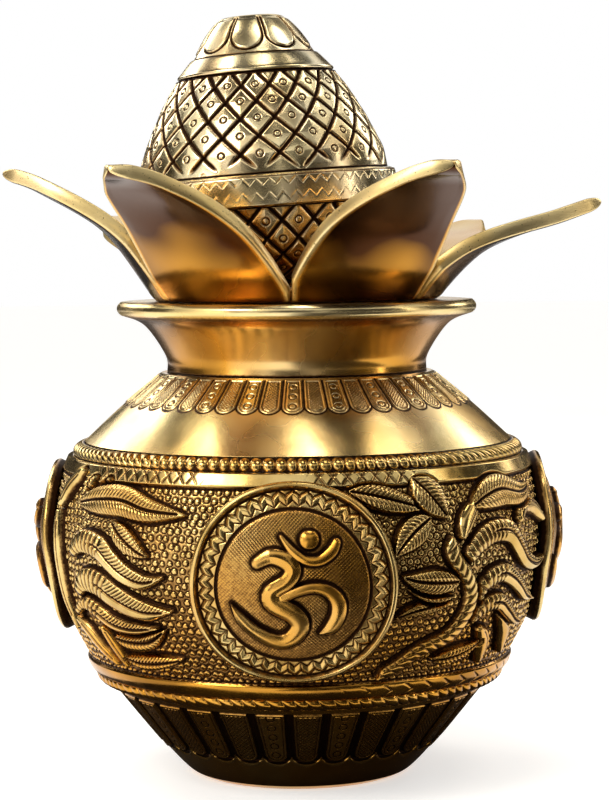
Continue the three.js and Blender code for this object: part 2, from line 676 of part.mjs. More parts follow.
function coconutDome() {
  return latticeWall([
    [DOME_FOOT_RADIUS, domeBase],
    [DOME_FOOT_RADIUS - 1.6, domeBase + DOME_HEIGHT * 0.25],
    [DOME_TOP_RADIUS + 6.8, domeBase + DOME_HEIGHT * 0.71],
    [DOME_TOP_RADIUS, domeBase + DOME_HEIGHT],
  ], COCONUT_WALL);
}

function coconutRing() {
  const outer = [
    new THREE.Vector2(RING_FOOT_RADIUS, ringBase),
    new THREE.Vector2(RING_FOOT_RADIUS, ringBase + 1.2),
    new THREE.Vector2(RING_TOP_RADIUS, ringBase + RING_HEIGHT),
  ];
  return lowRing(outer, COCONUT_WALL + 0.6, COCONUT_SEGMENTS);
}

function coconutTip() {
  const side = smooth([
    [TIP_FOOT_RADIUS, tipBase],
    [(TIP_FOOT_RADIUS + TIP_TOP_RADIUS) / 2, tipBase + TIP_HEIGHT * 0.56],
    [TIP_TOP_RADIUS, tipBase + TIP_HEIGHT * 0.94],
    [TIP_TOP_RADIUS - 2.6, tipBase + TIP_HEIGHT],
  ], 6);
  const foot = [new THREE.Vector2(0, tipBase)];
  const top = [new THREE.Vector2(0, tipBase + TIP_HEIGHT)];
  return turned([...foot, ...side, ...top], COCONUT_SEGMENTS);
}

function pot() {
  const group = new THREE.Group();
  group.add(mesh('base_bowl', baseBowl(), carvedBrass));
  group.add(mesh('lower_rope_ring', lowerRopeRing(), carvedBrass));
  group.add(mesh('belly_shell', bellyShell(), carvedBrass));
  for (const form of PLAQUES) {
    group.add(mesh(form.name, plaque(form), polishedBrass));
  }
  group.add(mesh('upper_rope_ring', upperRopeRing(), carvedBrass));
  group.add(mesh('shoulder_shell', shoulderShell(), polishedBrass));
  group.add(mesh('neck_and_lip', neckAndLip(), polishedBrass));
  return group;
}

function crown() {
  const group = new THREE.Group();
  group.add(mesh('leaf_cup', leafCup(), leafBrass));
  group.add(mesh('locating_collar', locatingCollar(), polishedBrass));
  for (const form of LEAVES) {
    group.add(mesh(form.name, leaf(form), leafBrass));
  }
  return group;
}

function coconut() {
  const group = new THREE.Group();
  group.add(mesh('coconut_lower_shell', coconutLowerShell(), carvedBrass));
  group.add(mesh('coconut_belt', coconutBelt(), polishedBrass));
  group.add(mesh('coconut_dome', coconutDome(), carvedBrass));
  group.add(mesh('coconut_ring', coconutRing(), polishedBrass));
  group.add(mesh('coconut_tip', coconutTip(), polishedBrass));
  const lean = THREE.MathUtils.degToRad(COCONUT_LEAN);
  const seatLift = COCONUT_SEAT_RADIUS * Math.sin(lean) + 2 * JOINT_GAP;
  group.position.set(COCONUT_OFFSET, 0, cupBase + CUP_FLOOR + seatLift);
  group.rotation.y = -lean;
  return group;
}

const kalash = new THREE.Group();
kalash.add(pot(), crown(), coconut());

export default kalash;
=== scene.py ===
import math

import bpy
import numpy as np
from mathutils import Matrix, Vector


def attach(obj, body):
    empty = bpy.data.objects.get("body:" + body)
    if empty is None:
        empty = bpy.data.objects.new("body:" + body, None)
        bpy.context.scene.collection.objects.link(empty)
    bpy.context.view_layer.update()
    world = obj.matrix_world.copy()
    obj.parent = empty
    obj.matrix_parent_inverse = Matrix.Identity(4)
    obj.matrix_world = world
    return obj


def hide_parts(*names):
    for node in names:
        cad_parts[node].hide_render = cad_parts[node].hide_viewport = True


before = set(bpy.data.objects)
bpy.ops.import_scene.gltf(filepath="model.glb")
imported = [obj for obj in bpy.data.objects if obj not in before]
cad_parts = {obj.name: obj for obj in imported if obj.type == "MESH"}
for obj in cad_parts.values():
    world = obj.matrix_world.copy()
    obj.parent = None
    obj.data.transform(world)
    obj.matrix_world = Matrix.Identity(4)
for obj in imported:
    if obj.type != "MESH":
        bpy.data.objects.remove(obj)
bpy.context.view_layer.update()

MM = 0.001
COARSE = 1.0

# Camera, from the photograph: picture size in pixels, the pixel's size on the pot's axis in
# millimetres, the distance to the axis, the height of the eye and the roll in radians
PICTURE_HEIGHT_PX = 800
MM_PER_PIXEL = 0.372
CAMERA_DISTANCE = 900
CAMERA_HEIGHT = 200
CAMERA_ROLL = -0.0094
AIM = (2.7, 0, 138)
SENSOR_MM = 36

# Sizes shared with the CAD, in millimetres
GAP = 0.3
POT_WALL = 3.2
COCONUT_WALL = 3
BASE_RADIUS = 38.6
BASE_CORNER = 4.8
BOWL_HEIGHT = 34.8
ROPE_1_HEIGHT = 4.4
BELLY_FOOT_RADIUS = 75.6
BOWL_RIM_RADIUS = BELLY_FOOT_RADIUS - 5.8
BELLY_HEIGHT = 79.3
BELLY_RADIUS = 92.6
BELLY_TOP_RADIUS = 84.2
ROPE_2_HEIGHT = 4.3
ROPE_2_STEP = 5.2
SHOULDER_RADIUS = BELLY_TOP_RADIUS - ROPE_2_STEP
SHOULDER_HEIGHT = 25
NECK_RADIUS = 48.2
NECK_HEIGHT = 26
LIP_RADIUS = 66.5
LIP_THICKNESS = 5
MOUTH_RADIUS = 46.5
LEAF_ROOT_RADIUS = 49.5
LEAF_THICKNESS = 5
LEAF_HALF_WIDTH = 25
LEAF_MID_REACH = 19
LEAF_MID_SHARE = 0.55
LEAF_ROUNDNESS = 0.7
PLAQUE_THICKNESS = 4.4
PLAQUE_RIM_WIDTH = 2.6
PLAQUE_BAND_WIDTH = 5.8
PLAQUE_GROOVE_WIDTH = 0.8
PLAQUE_FOOT_MARGIN = 9.8
PLAQUE_TOP_MARGIN = 4.2
SIGN_HEIGHT = 2.6
COCONUT_LOWER_HEIGHT = 28.2
BELT_HEIGHT = 11.8
BELT_RADIUS = 48.8
DOME_HEIGHT = 36.4
DOME_FOOT_RADIUS = 46
DOME_TOP_RADIUS = 29.6
RING_HEIGHT = 7.1
RING_FOOT_RADIUS = 28.8
RING_TOP_RADIUS = 23.4
TIP_HEIGHT = 14.5
TIP_FOOT_RADIUS = 22.4
TIP_TOP_RADIUS = 12
LATTICE_COUNT = 20
LATTICE_TALL = 14.1
LOWER_LATTICE_COUNT = 24
LOWER_LATTICE_TALL = 13.4

# Fine ornament that only this scene has: counts round the pot or the coconut, and the punched
# rings of the belly's ground in millimetres
PUNCH_PITCH = 3.1
PUNCH_RADIUS = 1.2
PUNCH_DEPTH = 0.45
LOWER_STRANDS = 104
UPPER_STRANDS = 130
BOWL_TONGUES = 32
BOWL_TONGUES_TURN = 2.4
SHOULDER_TONGUES = 48
SHOULDER_TONGUES_TURN = 6.2
BAND_DIAMONDS = 110
BAND_CHEVRONS = 60
RIBBON_ZIGZAGS = 42
BELT_ZIGZAGS = 64
FLUTES = 9

# Levels that follow from the sizes above
ROPE_1_BASE = BOWL_HEIGHT + GAP
ROPE_1_TOP = ROPE_1_BASE + ROPE_1_HEIGHT
BELLY_BASE = ROPE_1_TOP + GAP
BELLY_TOP = BELLY_BASE + BELLY_HEIGHT
ROPE_2_BASE = BELLY_TOP + GAP
ROPE_2_TOP = ROPE_2_BASE + ROPE_2_HEIGHT
SHOULDER_BASE = ROPE_2_TOP + GAP
SHOULDER_TOP = SHOULDER_BASE + SHOULDER_HEIGHT
NECK_BASE = SHOULDER_TOP + GAP
LIP_TOP = NECK_BASE + NECK_HEIGHT
CUP_BASE = LIP_TOP + GAP
COCONUT_LEAN = math.radians(4)
COCONUT_FOOT = (-8.8, 0, CUP_BASE + 3 + 24 * math.sin(COCONUT_LEAN) + 2 * GAP)

# Leaves: name, the azimuths of the two root corners and of the tip, reach and rise
LEAVES = [
    ("leaf_front_left", (-62, -2), -37, 104, 46.8),
    ("leaf_front_right", (-2, 55), 30, 106.5, 47.2),
    ("leaf_left", (-113, -62), -84, 107.5, 47.4),
    ("leaf_right", (55, 106), 84, 112.5, 35.2),
    ("leaf_back_left", (-164, -113), -136, 108, 31),
    ("leaf_back_right", (106, 157), 137, 108, 28.2),
    ("leaf_back", (157, 196), 178, 104, 42),
]

# Stage, in metres: the floor's size and the share of white it gives off to seen rays, the cards
# that stand round the set (name, azimuth, width, foot and top) and those that lie level (name,
# place and size)
FLOOR_SIZE = 12
FLOOR_GLOW = 0.52
CARD_DISTANCE = 1.8
UPRIGHT_CARDS = [
    ("card_front", -4, 1.1, 0.02, 1.3),
    ("card_front_right", 47, 2.0, 0.02, 1.5),
    ("card_right", 103, 1.5, 0.02, 1.5),
    ("card_back_right", 152, 1.3, 0.02, 1.3),
    ("card_back_left", -152, 1.3, 0.02, 1.3),
    ("card_left", -105, 1.5, 0.02, 1.4),
    ("card_front_left", -50, 0.9, 0.02, 1.3),
]
LEVEL_CARDS = [
    ("card_above", (0, 0, 1.75), (2.6, 2.6)),
    ("card_under", (0, 0, 0.0015), (0.22, 0.22)),
    ("card_low_front", (0.54, -0.76, 0.004), (1.12, 1.26)),
    ("card_low_back", (0, 0.9, 0.004), (1.5, 1.1)),
]

# Lamps: name, place and size in metres, power in watts, colour
DAYLIGHT = (1.0, 0.98, 0.94)
SOFT_WHITE = (1.0, 0.97, 0.91)
LAMP_TARGET = (0, 0, 0.14)
LAMPS = [
    ("window_left", (-0.62, 0.05, 1.3), (0.30, 0.36), 2.5, DAYLIGHT),
    ("window_middle", (0.10, -0.22, 1.35), (0.26, 0.34), 2.0, DAYLIGHT),
    ("window_right", (0.62, 0.05, 1.3), (0.30, 0.36), 1.7, DAYLIGHT),
    ("key_left", (-0.75, -0.70, 1.0), (0.5, 0.5), 7.5, SOFT_WHITE),
    ("side_left", (-1.05, -0.80, 0.30), (0.4, 0.5), 2.0, (1.0, 0.93, 0.82)),
    ("strip_right", (1.1, -0.25, 0.45), (0.12, 0.8), 1.2, (1.0, 0.95, 0.86)),
    ("back_left", (-0.75, 0.9, 0.8), (0.5, 0.5), 3.6, SOFT_WHITE),
    ("back_right", (0.9, 0.8, 0.7), (0.4, 0.5), 2.6, SOFT_WHITE),
]

# Plaques: name, azimuth, size against the front one, and how far the centre is set higher
PLAQUES = [
    ("plaque_front", -1, 1.0, 0.0),
    ("plaque_right", 89, 0.9, 5.5),
    ("plaque_back", 179, 0.9, 4.5),
    ("plaque_left", -91, 0.9, 3.5),
]

# Brass tones in linear colour
PALE_BRASS = (0.84, 0.68, 0.36, 1)
BRIGHT_BRASS = (0.74, 0.55, 0.22, 1)
MID_BRASS = (0.50, 0.33, 0.10, 1)
DEEP_BRASS = (0.28, 0.13, 0.035, 1)
SILVERY_BRASS = (0.92, 0.80, 0.52, 1)
# The warm tone is partly tarnish and partly a painted warm reflection; the dark umber is painted shade
WARM_TARNISH_AND_PAINTED_REFLECTION = (0.62, 0.29, 0.036, 1)
PAINTED_SHADE_UMBER = (0.066, 0.024, 0.008, 1)
PATINA_AND_PAINTED_SHADE = (0.030, 0.012, 0.005, 1)

# Marks on the meshes, from 0 to 1: the tarnish of clean brass, the darker tone of hidden faces, and
# the darkening of a wall's inside faces. On some pieces the tone mark also carries painted reflection and
# painted shade
PLAIN_TONE = 0.1
HIDDEN_TONE = 0.6
INSIDE_DARK = 0.2


def look_at(obj, target):
    obj.rotation_euler = (Vector(target) - obj.location).to_track_quat("-Z", "Y").to_euler()


def make_camera():
    data = bpy.data.cameras.new("camera")
    camera = bpy.data.objects.new("camera", data)
    bpy.context.scene.collection.objects.link(camera)
    camera.location = (AIM[0] * MM, -CAMERA_DISTANCE * MM, CAMERA_HEIGHT * MM)
    look_at(camera, Vector(AIM) * MM)
    camera.rotation_euler.rotate_axis("Z", CAMERA_ROLL)
    data.sensor_width = SENSOR_MM
    data.lens = SENSOR_MM * CAMERA_DISTANCE / MM_PER_PIXEL / PICTURE_HEIGHT_PX
    bpy.context.scene.camera = camera


# Curves and turned meshes

def smooth(points, count):
    """Evenly spaced points on the Catmull-Rom curve through a few points, as the CAD draws it."""
    given = np.array(points, float)
    padded = np.vstack([given[:1], given, given[-1:]])
    share = np.linspace(0, 1, 60)[:, None]
    parts = []
    for i in range(len(given) - 1):
        before, start, end, after = padded[i:i + 4]
        leave, arrive = (end - before) / 2, (after - start) / 2
        parts.append((2 * start - 2 * end + leave + arrive) * share ** 3
                     + (-3 * start + 3 * end - 2 * leave - arrive) * share ** 2
                     + leave * share + start)
    dense = np.vstack(parts)
    return spaced(dense, count)


def spaced(points, count):
    """The same line with `count` evenly spaced points."""
    points = np.array(points, float)
    steps = np.hypot(*np.diff(points, axis=0).T[:2]) if points.shape[1] == 2 else \
        np.linalg.norm(np.diff(points, axis=0), axis=1)
    length = np.concatenate([[0], np.cumsum(steps)])
    wanted = np.linspace(0, length[-1], count)
    return np.column_stack([np.interp(wanted, length, column) for column in points.T])


def around(step):
    """Azimuths in degrees from the back seam round to it, closer together on the front half."""
    step = step * COARSE
    front = np.linspace(-105, 105, int(210 / step) + 1)
    side = np.linspace(105, 180, int(75 / (step * 1.5)) + 1)[1:-1]
    return np.concatenate([[-180], -side[::-1], front, side])


def grid_mesh(name, rows, grime_and_shade, closed, poles=(None, None), tone=None):
    """A closed mesh from rows of points that each run once round an axis. The rows' ends meet
    each other, or each is closed by a fan to a pole."""
    count, columns = rows.shape[:2]
    tone = np.full(grime_and_shade.shape, PLAIN_TONE) if tone is None else tone
    column = np.arange(columns)
    following = (column + 1) % columns
    bands = count if closed else count - 1
    band = np.arange(bands)[:, None]
    below, above = band * columns, (band + 1) % count * columns
    quads = [below + column, below + following, above + following, above + column]
    left, right = column / columns + 0 * band, (column + 1) / columns + 0 * band
    low, high = band / bands + 0 * column, (band + 1) / bands + 0 * column
    points, darks, tones = [rows.reshape(-1, 3)], [grime_and_shade.reshape(-1)], [tone.reshape(-1)]
    corners = [np.stack(quads, axis=2).reshape(-1)]
    uv = [np.stack([left, low, right, low, right, high, left, high], axis=2).reshape(-1)]
    sizes = [np.full(bands * columns, 4)]
    total = count * columns
    for pole, row in ((poles[0], 0), (poles[1], count - 1)):
        if pole is None:
            continue
        points.append(np.array([pole]))
        darks.append(np.zeros(1))
        tones.append(np.full(1, tone[row].mean()))
        first, second = (column, following) if row else (following, column)
        fan = [row * columns + first, row * columns + second, np.full(columns, total)]
        level = np.full(columns, 1.0 if row else 0.0)
        fan_uv = [column / columns, level, (column + 1) / columns, level, (column + 0.5) / columns, level]
        corners.append(np.stack(fan, axis=1).reshape(-1))
        uv.append(np.stack(fan_uv, axis=1).reshape(-1))
        sizes.append(np.full(columns, 3))
        total += 1
    mesh = bpy.data.meshes.new(name)
    corners = np.concatenate(corners).astype(np.int32)
    sizes = np.concatenate(sizes)
    starts = np.concatenate([[0], np.cumsum(sizes)[:-1]]).astype(np.int32)
    coordinates = np.concatenate(points) * MM
    mesh.vertices.add(len(coordinates))
    mesh.vertices.foreach_set("co", coordinates.astype(np.float32).reshape(-1))
    mesh.loops.add(len(corners))
    mesh.loops.foreach_set("vertex_index", corners)
    mesh.polygons.add(len(sizes))
    mesh.polygons.foreach_set("loop_start", starts)
    layer = mesh.uv_layers.new(name="OFBake")
    layer.data.foreach_set("uv", np.concatenate(uv).astype(np.float32))
    for mark, values in (("grime_and_shade", darks), ("tone", tones)):
        attribute = mesh.attributes.new(mark, "FLOAT", "POINT")
        values = np.clip(np.concatenate(values), 0, 1)
        attribute.data.foreach_set("value", values.astype(np.float32))
    mesh.update(calc_edges=True)
    mesh.shade_smooth()
    return mesh


def add_piece(node, mesh, body, slot, materials, finish=None):
    """Adds a mesh that replaces one CAD node. `finish` names its material if not the slot's."""
    obj = bpy.data.objects.new(mesh.name, mesh)
    bpy.context.scene.collection.objects.link(obj)
    mesh.materials.append(materials[finish or slot])
    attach(obj, body)
    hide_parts(node)


class Skin:
    """The outside of a turned wall, with its relief in millimetres: rows go up the wall by
    length, columns go round by azimuth."""

    def __init__(self, outline, azimuths, row_step):
        length = np.hypot(*np.diff(outline, axis=0).T).sum()
        self.outline = spaced(outline, max(int(length / (row_step * COARSE)), 3))
        self.az = azimuths
        self.r, self.z = self.outline.T
        self.s = np.concatenate([[0], np.cumsum(np.hypot(*np.diff(self.outline, axis=0).T))])
        run = np.gradient(self.outline, axis=0)
        run /= np.linalg.norm(run, axis=1)[:, None]
        self.normal = np.column_stack([run[:, 1], -run[:, 0]])
        shape = (len(self.s), len(self.az))
        self.lift = np.zeros(shape)
        self.dark = np.zeros(shape)
        self.tone = np.full(shape, PLAIN_TONE)

    def level(self, z):
        return np.interp(z, self.z, self.s)

    def darken(self, amount):
        self.dark = np.maximum(self.dark, amount)

    def darken_ends(self, length):
        foot, top = ramp(length - self.s, 0, length), ramp(self.s - self.s[-1] + length, 0, length)
        self.darken(np.maximum(foot, top)[:, None])

    def rows(self):
        turn = np.radians(self.az)[None, :]
        r = self.r[:, None] + self.normal[:, :1] * self.lift
        z = self.z[:, None] + self.normal[:, 1:] * self.lift
        return np.stack([r * np.sin(turn), -r * np.cos(turn), z], axis=2)

    def fade_ends(self, length):
        self.lift *= ramp(np.minimum(self.s, self.s[-1] - self.s), 0, length)[:, None]


def ring_rows(profile, azimuths):
    turn = np.radians(azimuths)[None, :]
    r, z = np.array(profile, float).T
    return np.stack([r[:, None] * np.sin(turn), -r[:, None] * np.cos(turn),
                     np.repeat(z[:, None], len(azimuths), axis=1)], axis=2)


def turned_mesh(name, skin, inside, before=None, poles=(None, None), place=None, pale=0):
    """A turned body: plain rows under the foot, the skin, and rows back down, the first `pale` clean."""
    inner = np.full((len(inside), len(skin.az)), INSIDE_DARK)
    inner_tone = np.full(inner.shape, HIDDEN_TONE)
    inner[:pale] = 0
    inner_tone[:pale] = PLAIN_TONE
    parts = [skin.rows(), ring_rows(inside, skin.az)]
    darks, tones = [skin.dark, inner], [skin.tone, inner_tone]
    if before:
        parts.insert(0, ring_rows(before, skin.az))
        for values in (darks, tones):
            values.insert(0, np.full((len(before), len(skin.az)), HIDDEN_TONE))
    rows = np.concatenate(parts)
    ends = [None if pole is None else np.array([0, 0, pole], float) for pole in poles]
    if place is not None:
        rows = place(rows)
        ends = [None if end is None else place(end) for end in ends]
    return grid_mesh(name, rows, np.concatenate(darks), poles == (None, None), ends,
                     np.concatenate(tones))


# Relief patterns

def wave(phase):
    """A triangular wave: 0 at whole numbers, 1 half way between."""
    return 1 - np.abs(2 * (phase - np.floor(phase)) - 1)


def bell(distance, width):
    return np.exp(-(distance / width) ** 2)


def ramp(value, low, high):
    share = np.clip((value - low) / (high - low), 0, 1)
    return share * share * (3 - 2 * share)


def scatter(i, j, seed):
    """A random number from 0 to 1 for each cell of a lattice."""
    mixed = np.sin(i * 127.1 + j * 311.7 + seed * 74.7) * 43758.5453
    return mixed - np.floor(mixed)


def punched_rings(skin, pitch, radius, depth, low, high, seed):
    """Rings punched into the ground between two levels of the wall, in loose rows."""
    middle = skin.r[len(skin.r) // 2]
    around_count = round(2 * math.pi * middle / pitch)
    u = (skin.az / 360 * around_count)[None, :]
    v = (skin.s / (pitch * 0.9))[:, None]
    nearest = np.full(skin.lift.shape, 9.0)
    row = np.floor(v)
    for dj in (-1, 0, 1):
        j = row + dj
        shift = (j % 2) * 0.5
        i0 = np.floor(u - shift)
        for di in (-1, 0, 1):
            i = i0 + di
            cell = i % around_count
            cu = i + shift + 0.5 + (scatter(cell, j, seed) - 0.5) * 0.34
            cv = j + 0.5 + (scatter(cell, j, seed + 5) - 0.5) * 0.34
            across = (u - cu) * (2 * math.pi * skin.r[:, None] / around_count)
            up = (v - cv) * pitch * 0.9
            size = radius * (0.86 + 0.28 * scatter(cell, j, seed + 9))
            nearest = np.minimum(nearest, np.hypot(across, up) / size * radius)
    inside = ((skin.s > low) & (skin.s < high))[:, None]
    groove = bell(nearest - radius, 0.24) * inside
    dome = np.clip(1 - (nearest / radius) ** 3, 0, 1) * inside
    skin.lift += 0.35 * dome - depth * groove - 0.3 * inside
    # Darker ground between the rings: grime, with painted shade that grows towards the bottom of the belly
    ground_grime_and_shade = (0.46 - 0.28 * ramp(skin.s, low + 18, high - 8))[:, None]
    skin.darken(np.maximum(groove * 0.85, ground_grime_and_shade * ramp(nearest, radius, radius + 0.4) * inside))


class Window:
    """The part of a skin near a path given as azimuths and heights, with each spot's distance
    to the path, its share of the way along it, and its side."""

    def __init__(self, skin, path, margin):
        path = smooth(path, 28)
        mid = (path[:, 0].min() + path[:, 0].max()) / 2
        s = skin.level(path[:, 1])
        r = np.interp(path[:, 1], skin.z, skin.r)
        line = np.column_stack([np.radians(path[:, 0] - mid) * r, s])
        reach = np.degrees(margin / r.min())
        self.columns = np.where((skin.az > path[:, 0].min() - reach)
                                & (skin.az < path[:, 0].max() + reach))[0]
        self.rows = np.where((skin.s > s.min() - margin) & (skin.s < s.max() + margin))[0]
        self.empty = not len(self.columns) or not len(self.rows)
        if self.empty:
            return
        self.cut = np.ix_(self.rows, self.columns)
        u = np.radians(skin.az[self.columns] - mid)[None, :] * skin.r[self.rows][:, None]
        v = np.repeat(skin.s[self.rows][:, None], len(self.columns), axis=1)
        steps = np.diff(line, axis=0)
        length = np.hypot(*steps.T)
        start = np.concatenate([[0], np.cumsum(length)[:-1]])
        best = np.full(u.shape, 1e9)
        along = np.zeros(u.shape)
        side = np.ones(u.shape)
        for k in range(len(steps)):
            du, dv = u - line[k, 0], v - line[k, 1]
            share = np.clip((du * steps[k, 0] + dv * steps[k, 1]) / length[k] ** 2, 0, 1)
            away = np.hypot(du - share * steps[k, 0], dv - share * steps[k, 1])
            closer = away < best
            best = np.where(closer, away, best)
            along = np.where(closer, start[k] + share * length[k], along)
            cross = steps[k, 0] * dv - steps[k, 1] * du
            side = np.where(closer, np.sign(cross), side)
        self.away, self.along, self.side = best, along, side
        self.share = np.clip(along / length.sum(), 0, 1)


def raise_form(skin, window, half, height, inner_dark, trench=1.3):
    """Puts a raised form on the skin with a sunk trench just outside it, darkened by grime and a painted
    shadow.
    """
    inside = window.away < half
    lift = skin.lift[window.cut]
    dark = skin.dark[window.cut]
    outside = np.clip((window.away - half) / trench, 0, 1)
    near = (1 - outside ** 1.5) * (half > 0.05)
    lift = np.where(inside, height, np.minimum(lift, lift * (1 - near) - 0.55 * near))
    # The trench is dark with grime in the recess and with a painted shadow along the form's foot
    dark = np.where(inside, inner_dark, np.maximum(dark, near))
    skin.lift[window.cut] = lift
    skin.dark[window.cut] = dark


def blade(skin, window, width, rise=3.2, hatch=1.6):
    """A pointed leaf along a path from its stalk to its tip, with a middle vein and side veins."""
    t = window.share
    form = (1 - (1 - t) ** 4) ** 0.8 * (1 - t ** 2.4) ** 0.9 / 0.8
    half = np.maximum(width / 2 * form, 0.02)
    edge = ramp(half - window.away, 0, 0.6)
    swell = np.sin(math.pi * np.clip(window.away / half, 0, 1) ** 0.8) ** 0.8
    height = rise * (0.6 + 0.4 * swell) * (0.55 + 0.45 * np.minimum(form, 1)) * edge
    long_vein = (t > 0.03) * (t < 0.93)
    veins = (1 - wave((window.along - 0.75 * window.away) / hatch)) ** 1.7
    veins = veins * ramp(half - window.away, 0.3, 0.9) * ramp(window.away, 0.2, 0.9)
    height = height - 0.6 * bell(window.away, 0.42) * long_vein - 0.4 * veins
    dark = np.maximum(0.55 * (1 - edge), 0.95 * bell(window.away, 0.5) * long_vein)
    raise_form(skin, window, half, height, np.maximum(dark, 0.5 * veins))


def stalk(skin, window, width, rise=2.9, tick=3.4, taper=0.1):
    """A rounded, notched stalk that thins a little towards its far end."""
    t = window.share
    half = width / 2 * (1 - taper * t) * ramp(t, -0.02, 0.05) * ramp(1 - t, -0.01, 0.05)
    half = np.maximum(half, 0.02)
    across = np.clip(window.away / half, 0, 1)
    cut = (1 - wave((window.along + 0.6 * window.away * window.side) / tick)) ** 3
    height = rise * np.sqrt(np.clip(1 - across ** 2.6, 0, 1)) - 0.4 * cut
    raise_form(skin, window, half, height, np.maximum(0.5 * ramp(across, 0.8, 1.0), 0.6 * cut))


def curl(skin, window, width, rise=3.0):
    """A leaf with a rolled, ribbed head that runs out to a thin tip, with a dark middle line."""
    t = window.share
    half = width / 2 * np.interp(t, [0, 0.1, 0.2, 0.4, 0.6, 0.8, 1], [0.5, 0.8, 0.95, 1, 0.9, 0.7, 0.1])
    across = np.clip(window.away / half, 0, 1)
    height = rise * (0.35 + 0.65 * np.sqrt(np.clip(1 - across ** 2.2, 0, 1)))
    ribs = (1 - wave(window.along / 2.3)) ** 2 * ramp(0.38 - t, -0.04, 0.04)
    lines = (1 - wave((window.along - 0.9 * window.away) / 1.7)) ** 1.7 * ramp(t, 0.36, 0.44)
    lines = lines * (window.side > 0) * ramp(half - window.away, 0.2, 0.9)
    middle = bell(window.away, 0.42) * ramp(t, 0.22, 0.34) * ramp(0.96 - t, 0, 0.06)
    height = height - 0.6 * ribs - 0.4 * lines - 0.9 * middle
    dark = np.maximum(np.maximum(0.6 * ribs, 0.55 * lines), 0.95 * middle)
    raise_form(skin, window, half, height, np.maximum(dark, 0.5 * ramp(across, 0.82, 1.0)))


def bud(skin, window, width, rise=2.9):
    """A smooth rounded bud with one fine line along its side."""
    t = window.share
    half = width / 2 * np.interp(t, [0, 0.2, 0.4, 0.6, 0.8, 1], [0.5, 0.92, 1, 0.96, 0.8, 0.4])
    across = np.clip(window.away / half, 0, 1)
    height = rise * np.sqrt(np.clip(1 - across ** 2.4, 0, 1))
    line = bell(window.away * window.side - 0.35 * half, 0.3) * (t > 0.1) * (t < 0.9)
    dark = np.maximum(0.6 * line, 0.6 * ramp(across, 0.78, 1.0))
    raise_form(skin, window, half, height - 0.4 * line, dark)


def tongues(skin, count, centre, end, far, gap, lift, ring_step, ring_radius, hatch, deep=0.0):
    """A border of long tongues with rounded lower ends, by turns hatched and punched with rings.
    `end` is the level of the rounded ends, and `far` the level of the straight ends."""
    spacing = 360 / count
    turn = (skin.az - centre) / spacing
    cell = np.round(turn)
    across = ((turn - cell) * spacing)[None, :] * (math.pi / 180) * skin.r[:, None]
    half = (spacing / 2 * math.pi / 180 * skin.r - gap / 2)[:, None]
    s = skin.s[:, None]
    past = np.maximum(end + half - s, 0)
    away = np.maximum(np.hypot(across, past) - half, s - far)
    raised = ramp(-away, 0, 0.5)
    slot = ramp(away, -0.1, 0.3) * (away < gap / 2 + 0.2) * ramp(far - s, -0.2, 0.4)
    tip = ramp(end - s, -0.2, 0.4)
    border = bell(away + 1.05, 0.28)
    skin.lift += lift * raised - 0.35 * border * raised - deep * slot * (1 - tip)
    dark = np.maximum(slot, bell(away - 0.3, 0.45) * (far - s > 0))
    punched = (cell % 2 == 1)[None, :]
    place = (s - end - half) / ring_step
    ring = np.hypot(across, (place - np.round(np.maximum(place, 0))) * ring_step)
    rings = bell(ring - ring_radius, 0.24) * punched * (away < -0.8)
    cross = np.maximum((1 - wave((across + s) / hatch)) ** 3, (1 - wave((across - s) / hatch)) ** 3)
    inner = np.maximum(rings, cross * 0.8 * ~punched * (away < -1.1)) * (away < 0)
    skin.lift -= 0.3 * inner
    skin.darken(np.maximum(np.maximum(dark, 0.8 * inner), 0.55 * border * (away < 0)))


def lattice(skin, count, tall, depth, ring_radius):
    """Diamonds between two families of slanting grooves, each with a punched ring."""
    wide = (2 * math.pi * skin.r / count)[:, None]
    round_share = (skin.az * count / 360)[None, :]
    up_share = (skin.s / tall)[:, None]
    spread = np.hypot(1 / wide, 1 / tall)
    offsets = []
    pillow = np.ones((len(skin.s), len(skin.az)))
    for sign in (1, -1):
        phase = round_share + sign * up_share
        share = phase - np.floor(phase)
        from_line = np.minimum(share, 1 - share)
        skin.lift -= depth * bell(from_line / spread, 0.62)
        pillow = np.minimum(pillow, 2 * from_line)
        skin.darken(bell(from_line / spread, 0.72))
        offsets.append(share - 0.5)
    across = (offsets[0] + offsets[1]) / 2 * wide
    up = (offsets[0] - offsets[1]) / 2 * tall
    mark = bell(np.hypot(across, up) - ring_radius, 0.26)
    skin.lift -= 0.35 * (1 - pillow) ** 1.5 + 0.35 * mark
    skin.darken(0.85 * mark)


# Belly

BELLY_OUTLINE = smooth([
    (BELLY_FOOT_RADIUS, BELLY_BASE),
    (BELLY_FOOT_RADIUS + 3.2, BELLY_BASE + BELLY_HEIGHT * 0.08),
    (BELLY_RADIUS - 5.2, BELLY_BASE + BELLY_HEIGHT * 0.31),
    (BELLY_RADIUS, BELLY_BASE + BELLY_HEIGHT * 0.62),
    (BELLY_RADIUS - 2.2, BELLY_BASE + BELLY_HEIGHT * 0.82),
    (BELLY_TOP_RADIUS, BELLY_TOP),
], 400)
BELLY_LENGTH = float(np.hypot(*np.diff(BELLY_OUTLINE, axis=0).T).sum())
LOWER_BAND_TOP = BELLY_BASE + 5.6
UPPER_BAND_FOOT = BELLY_TOP - 5.2

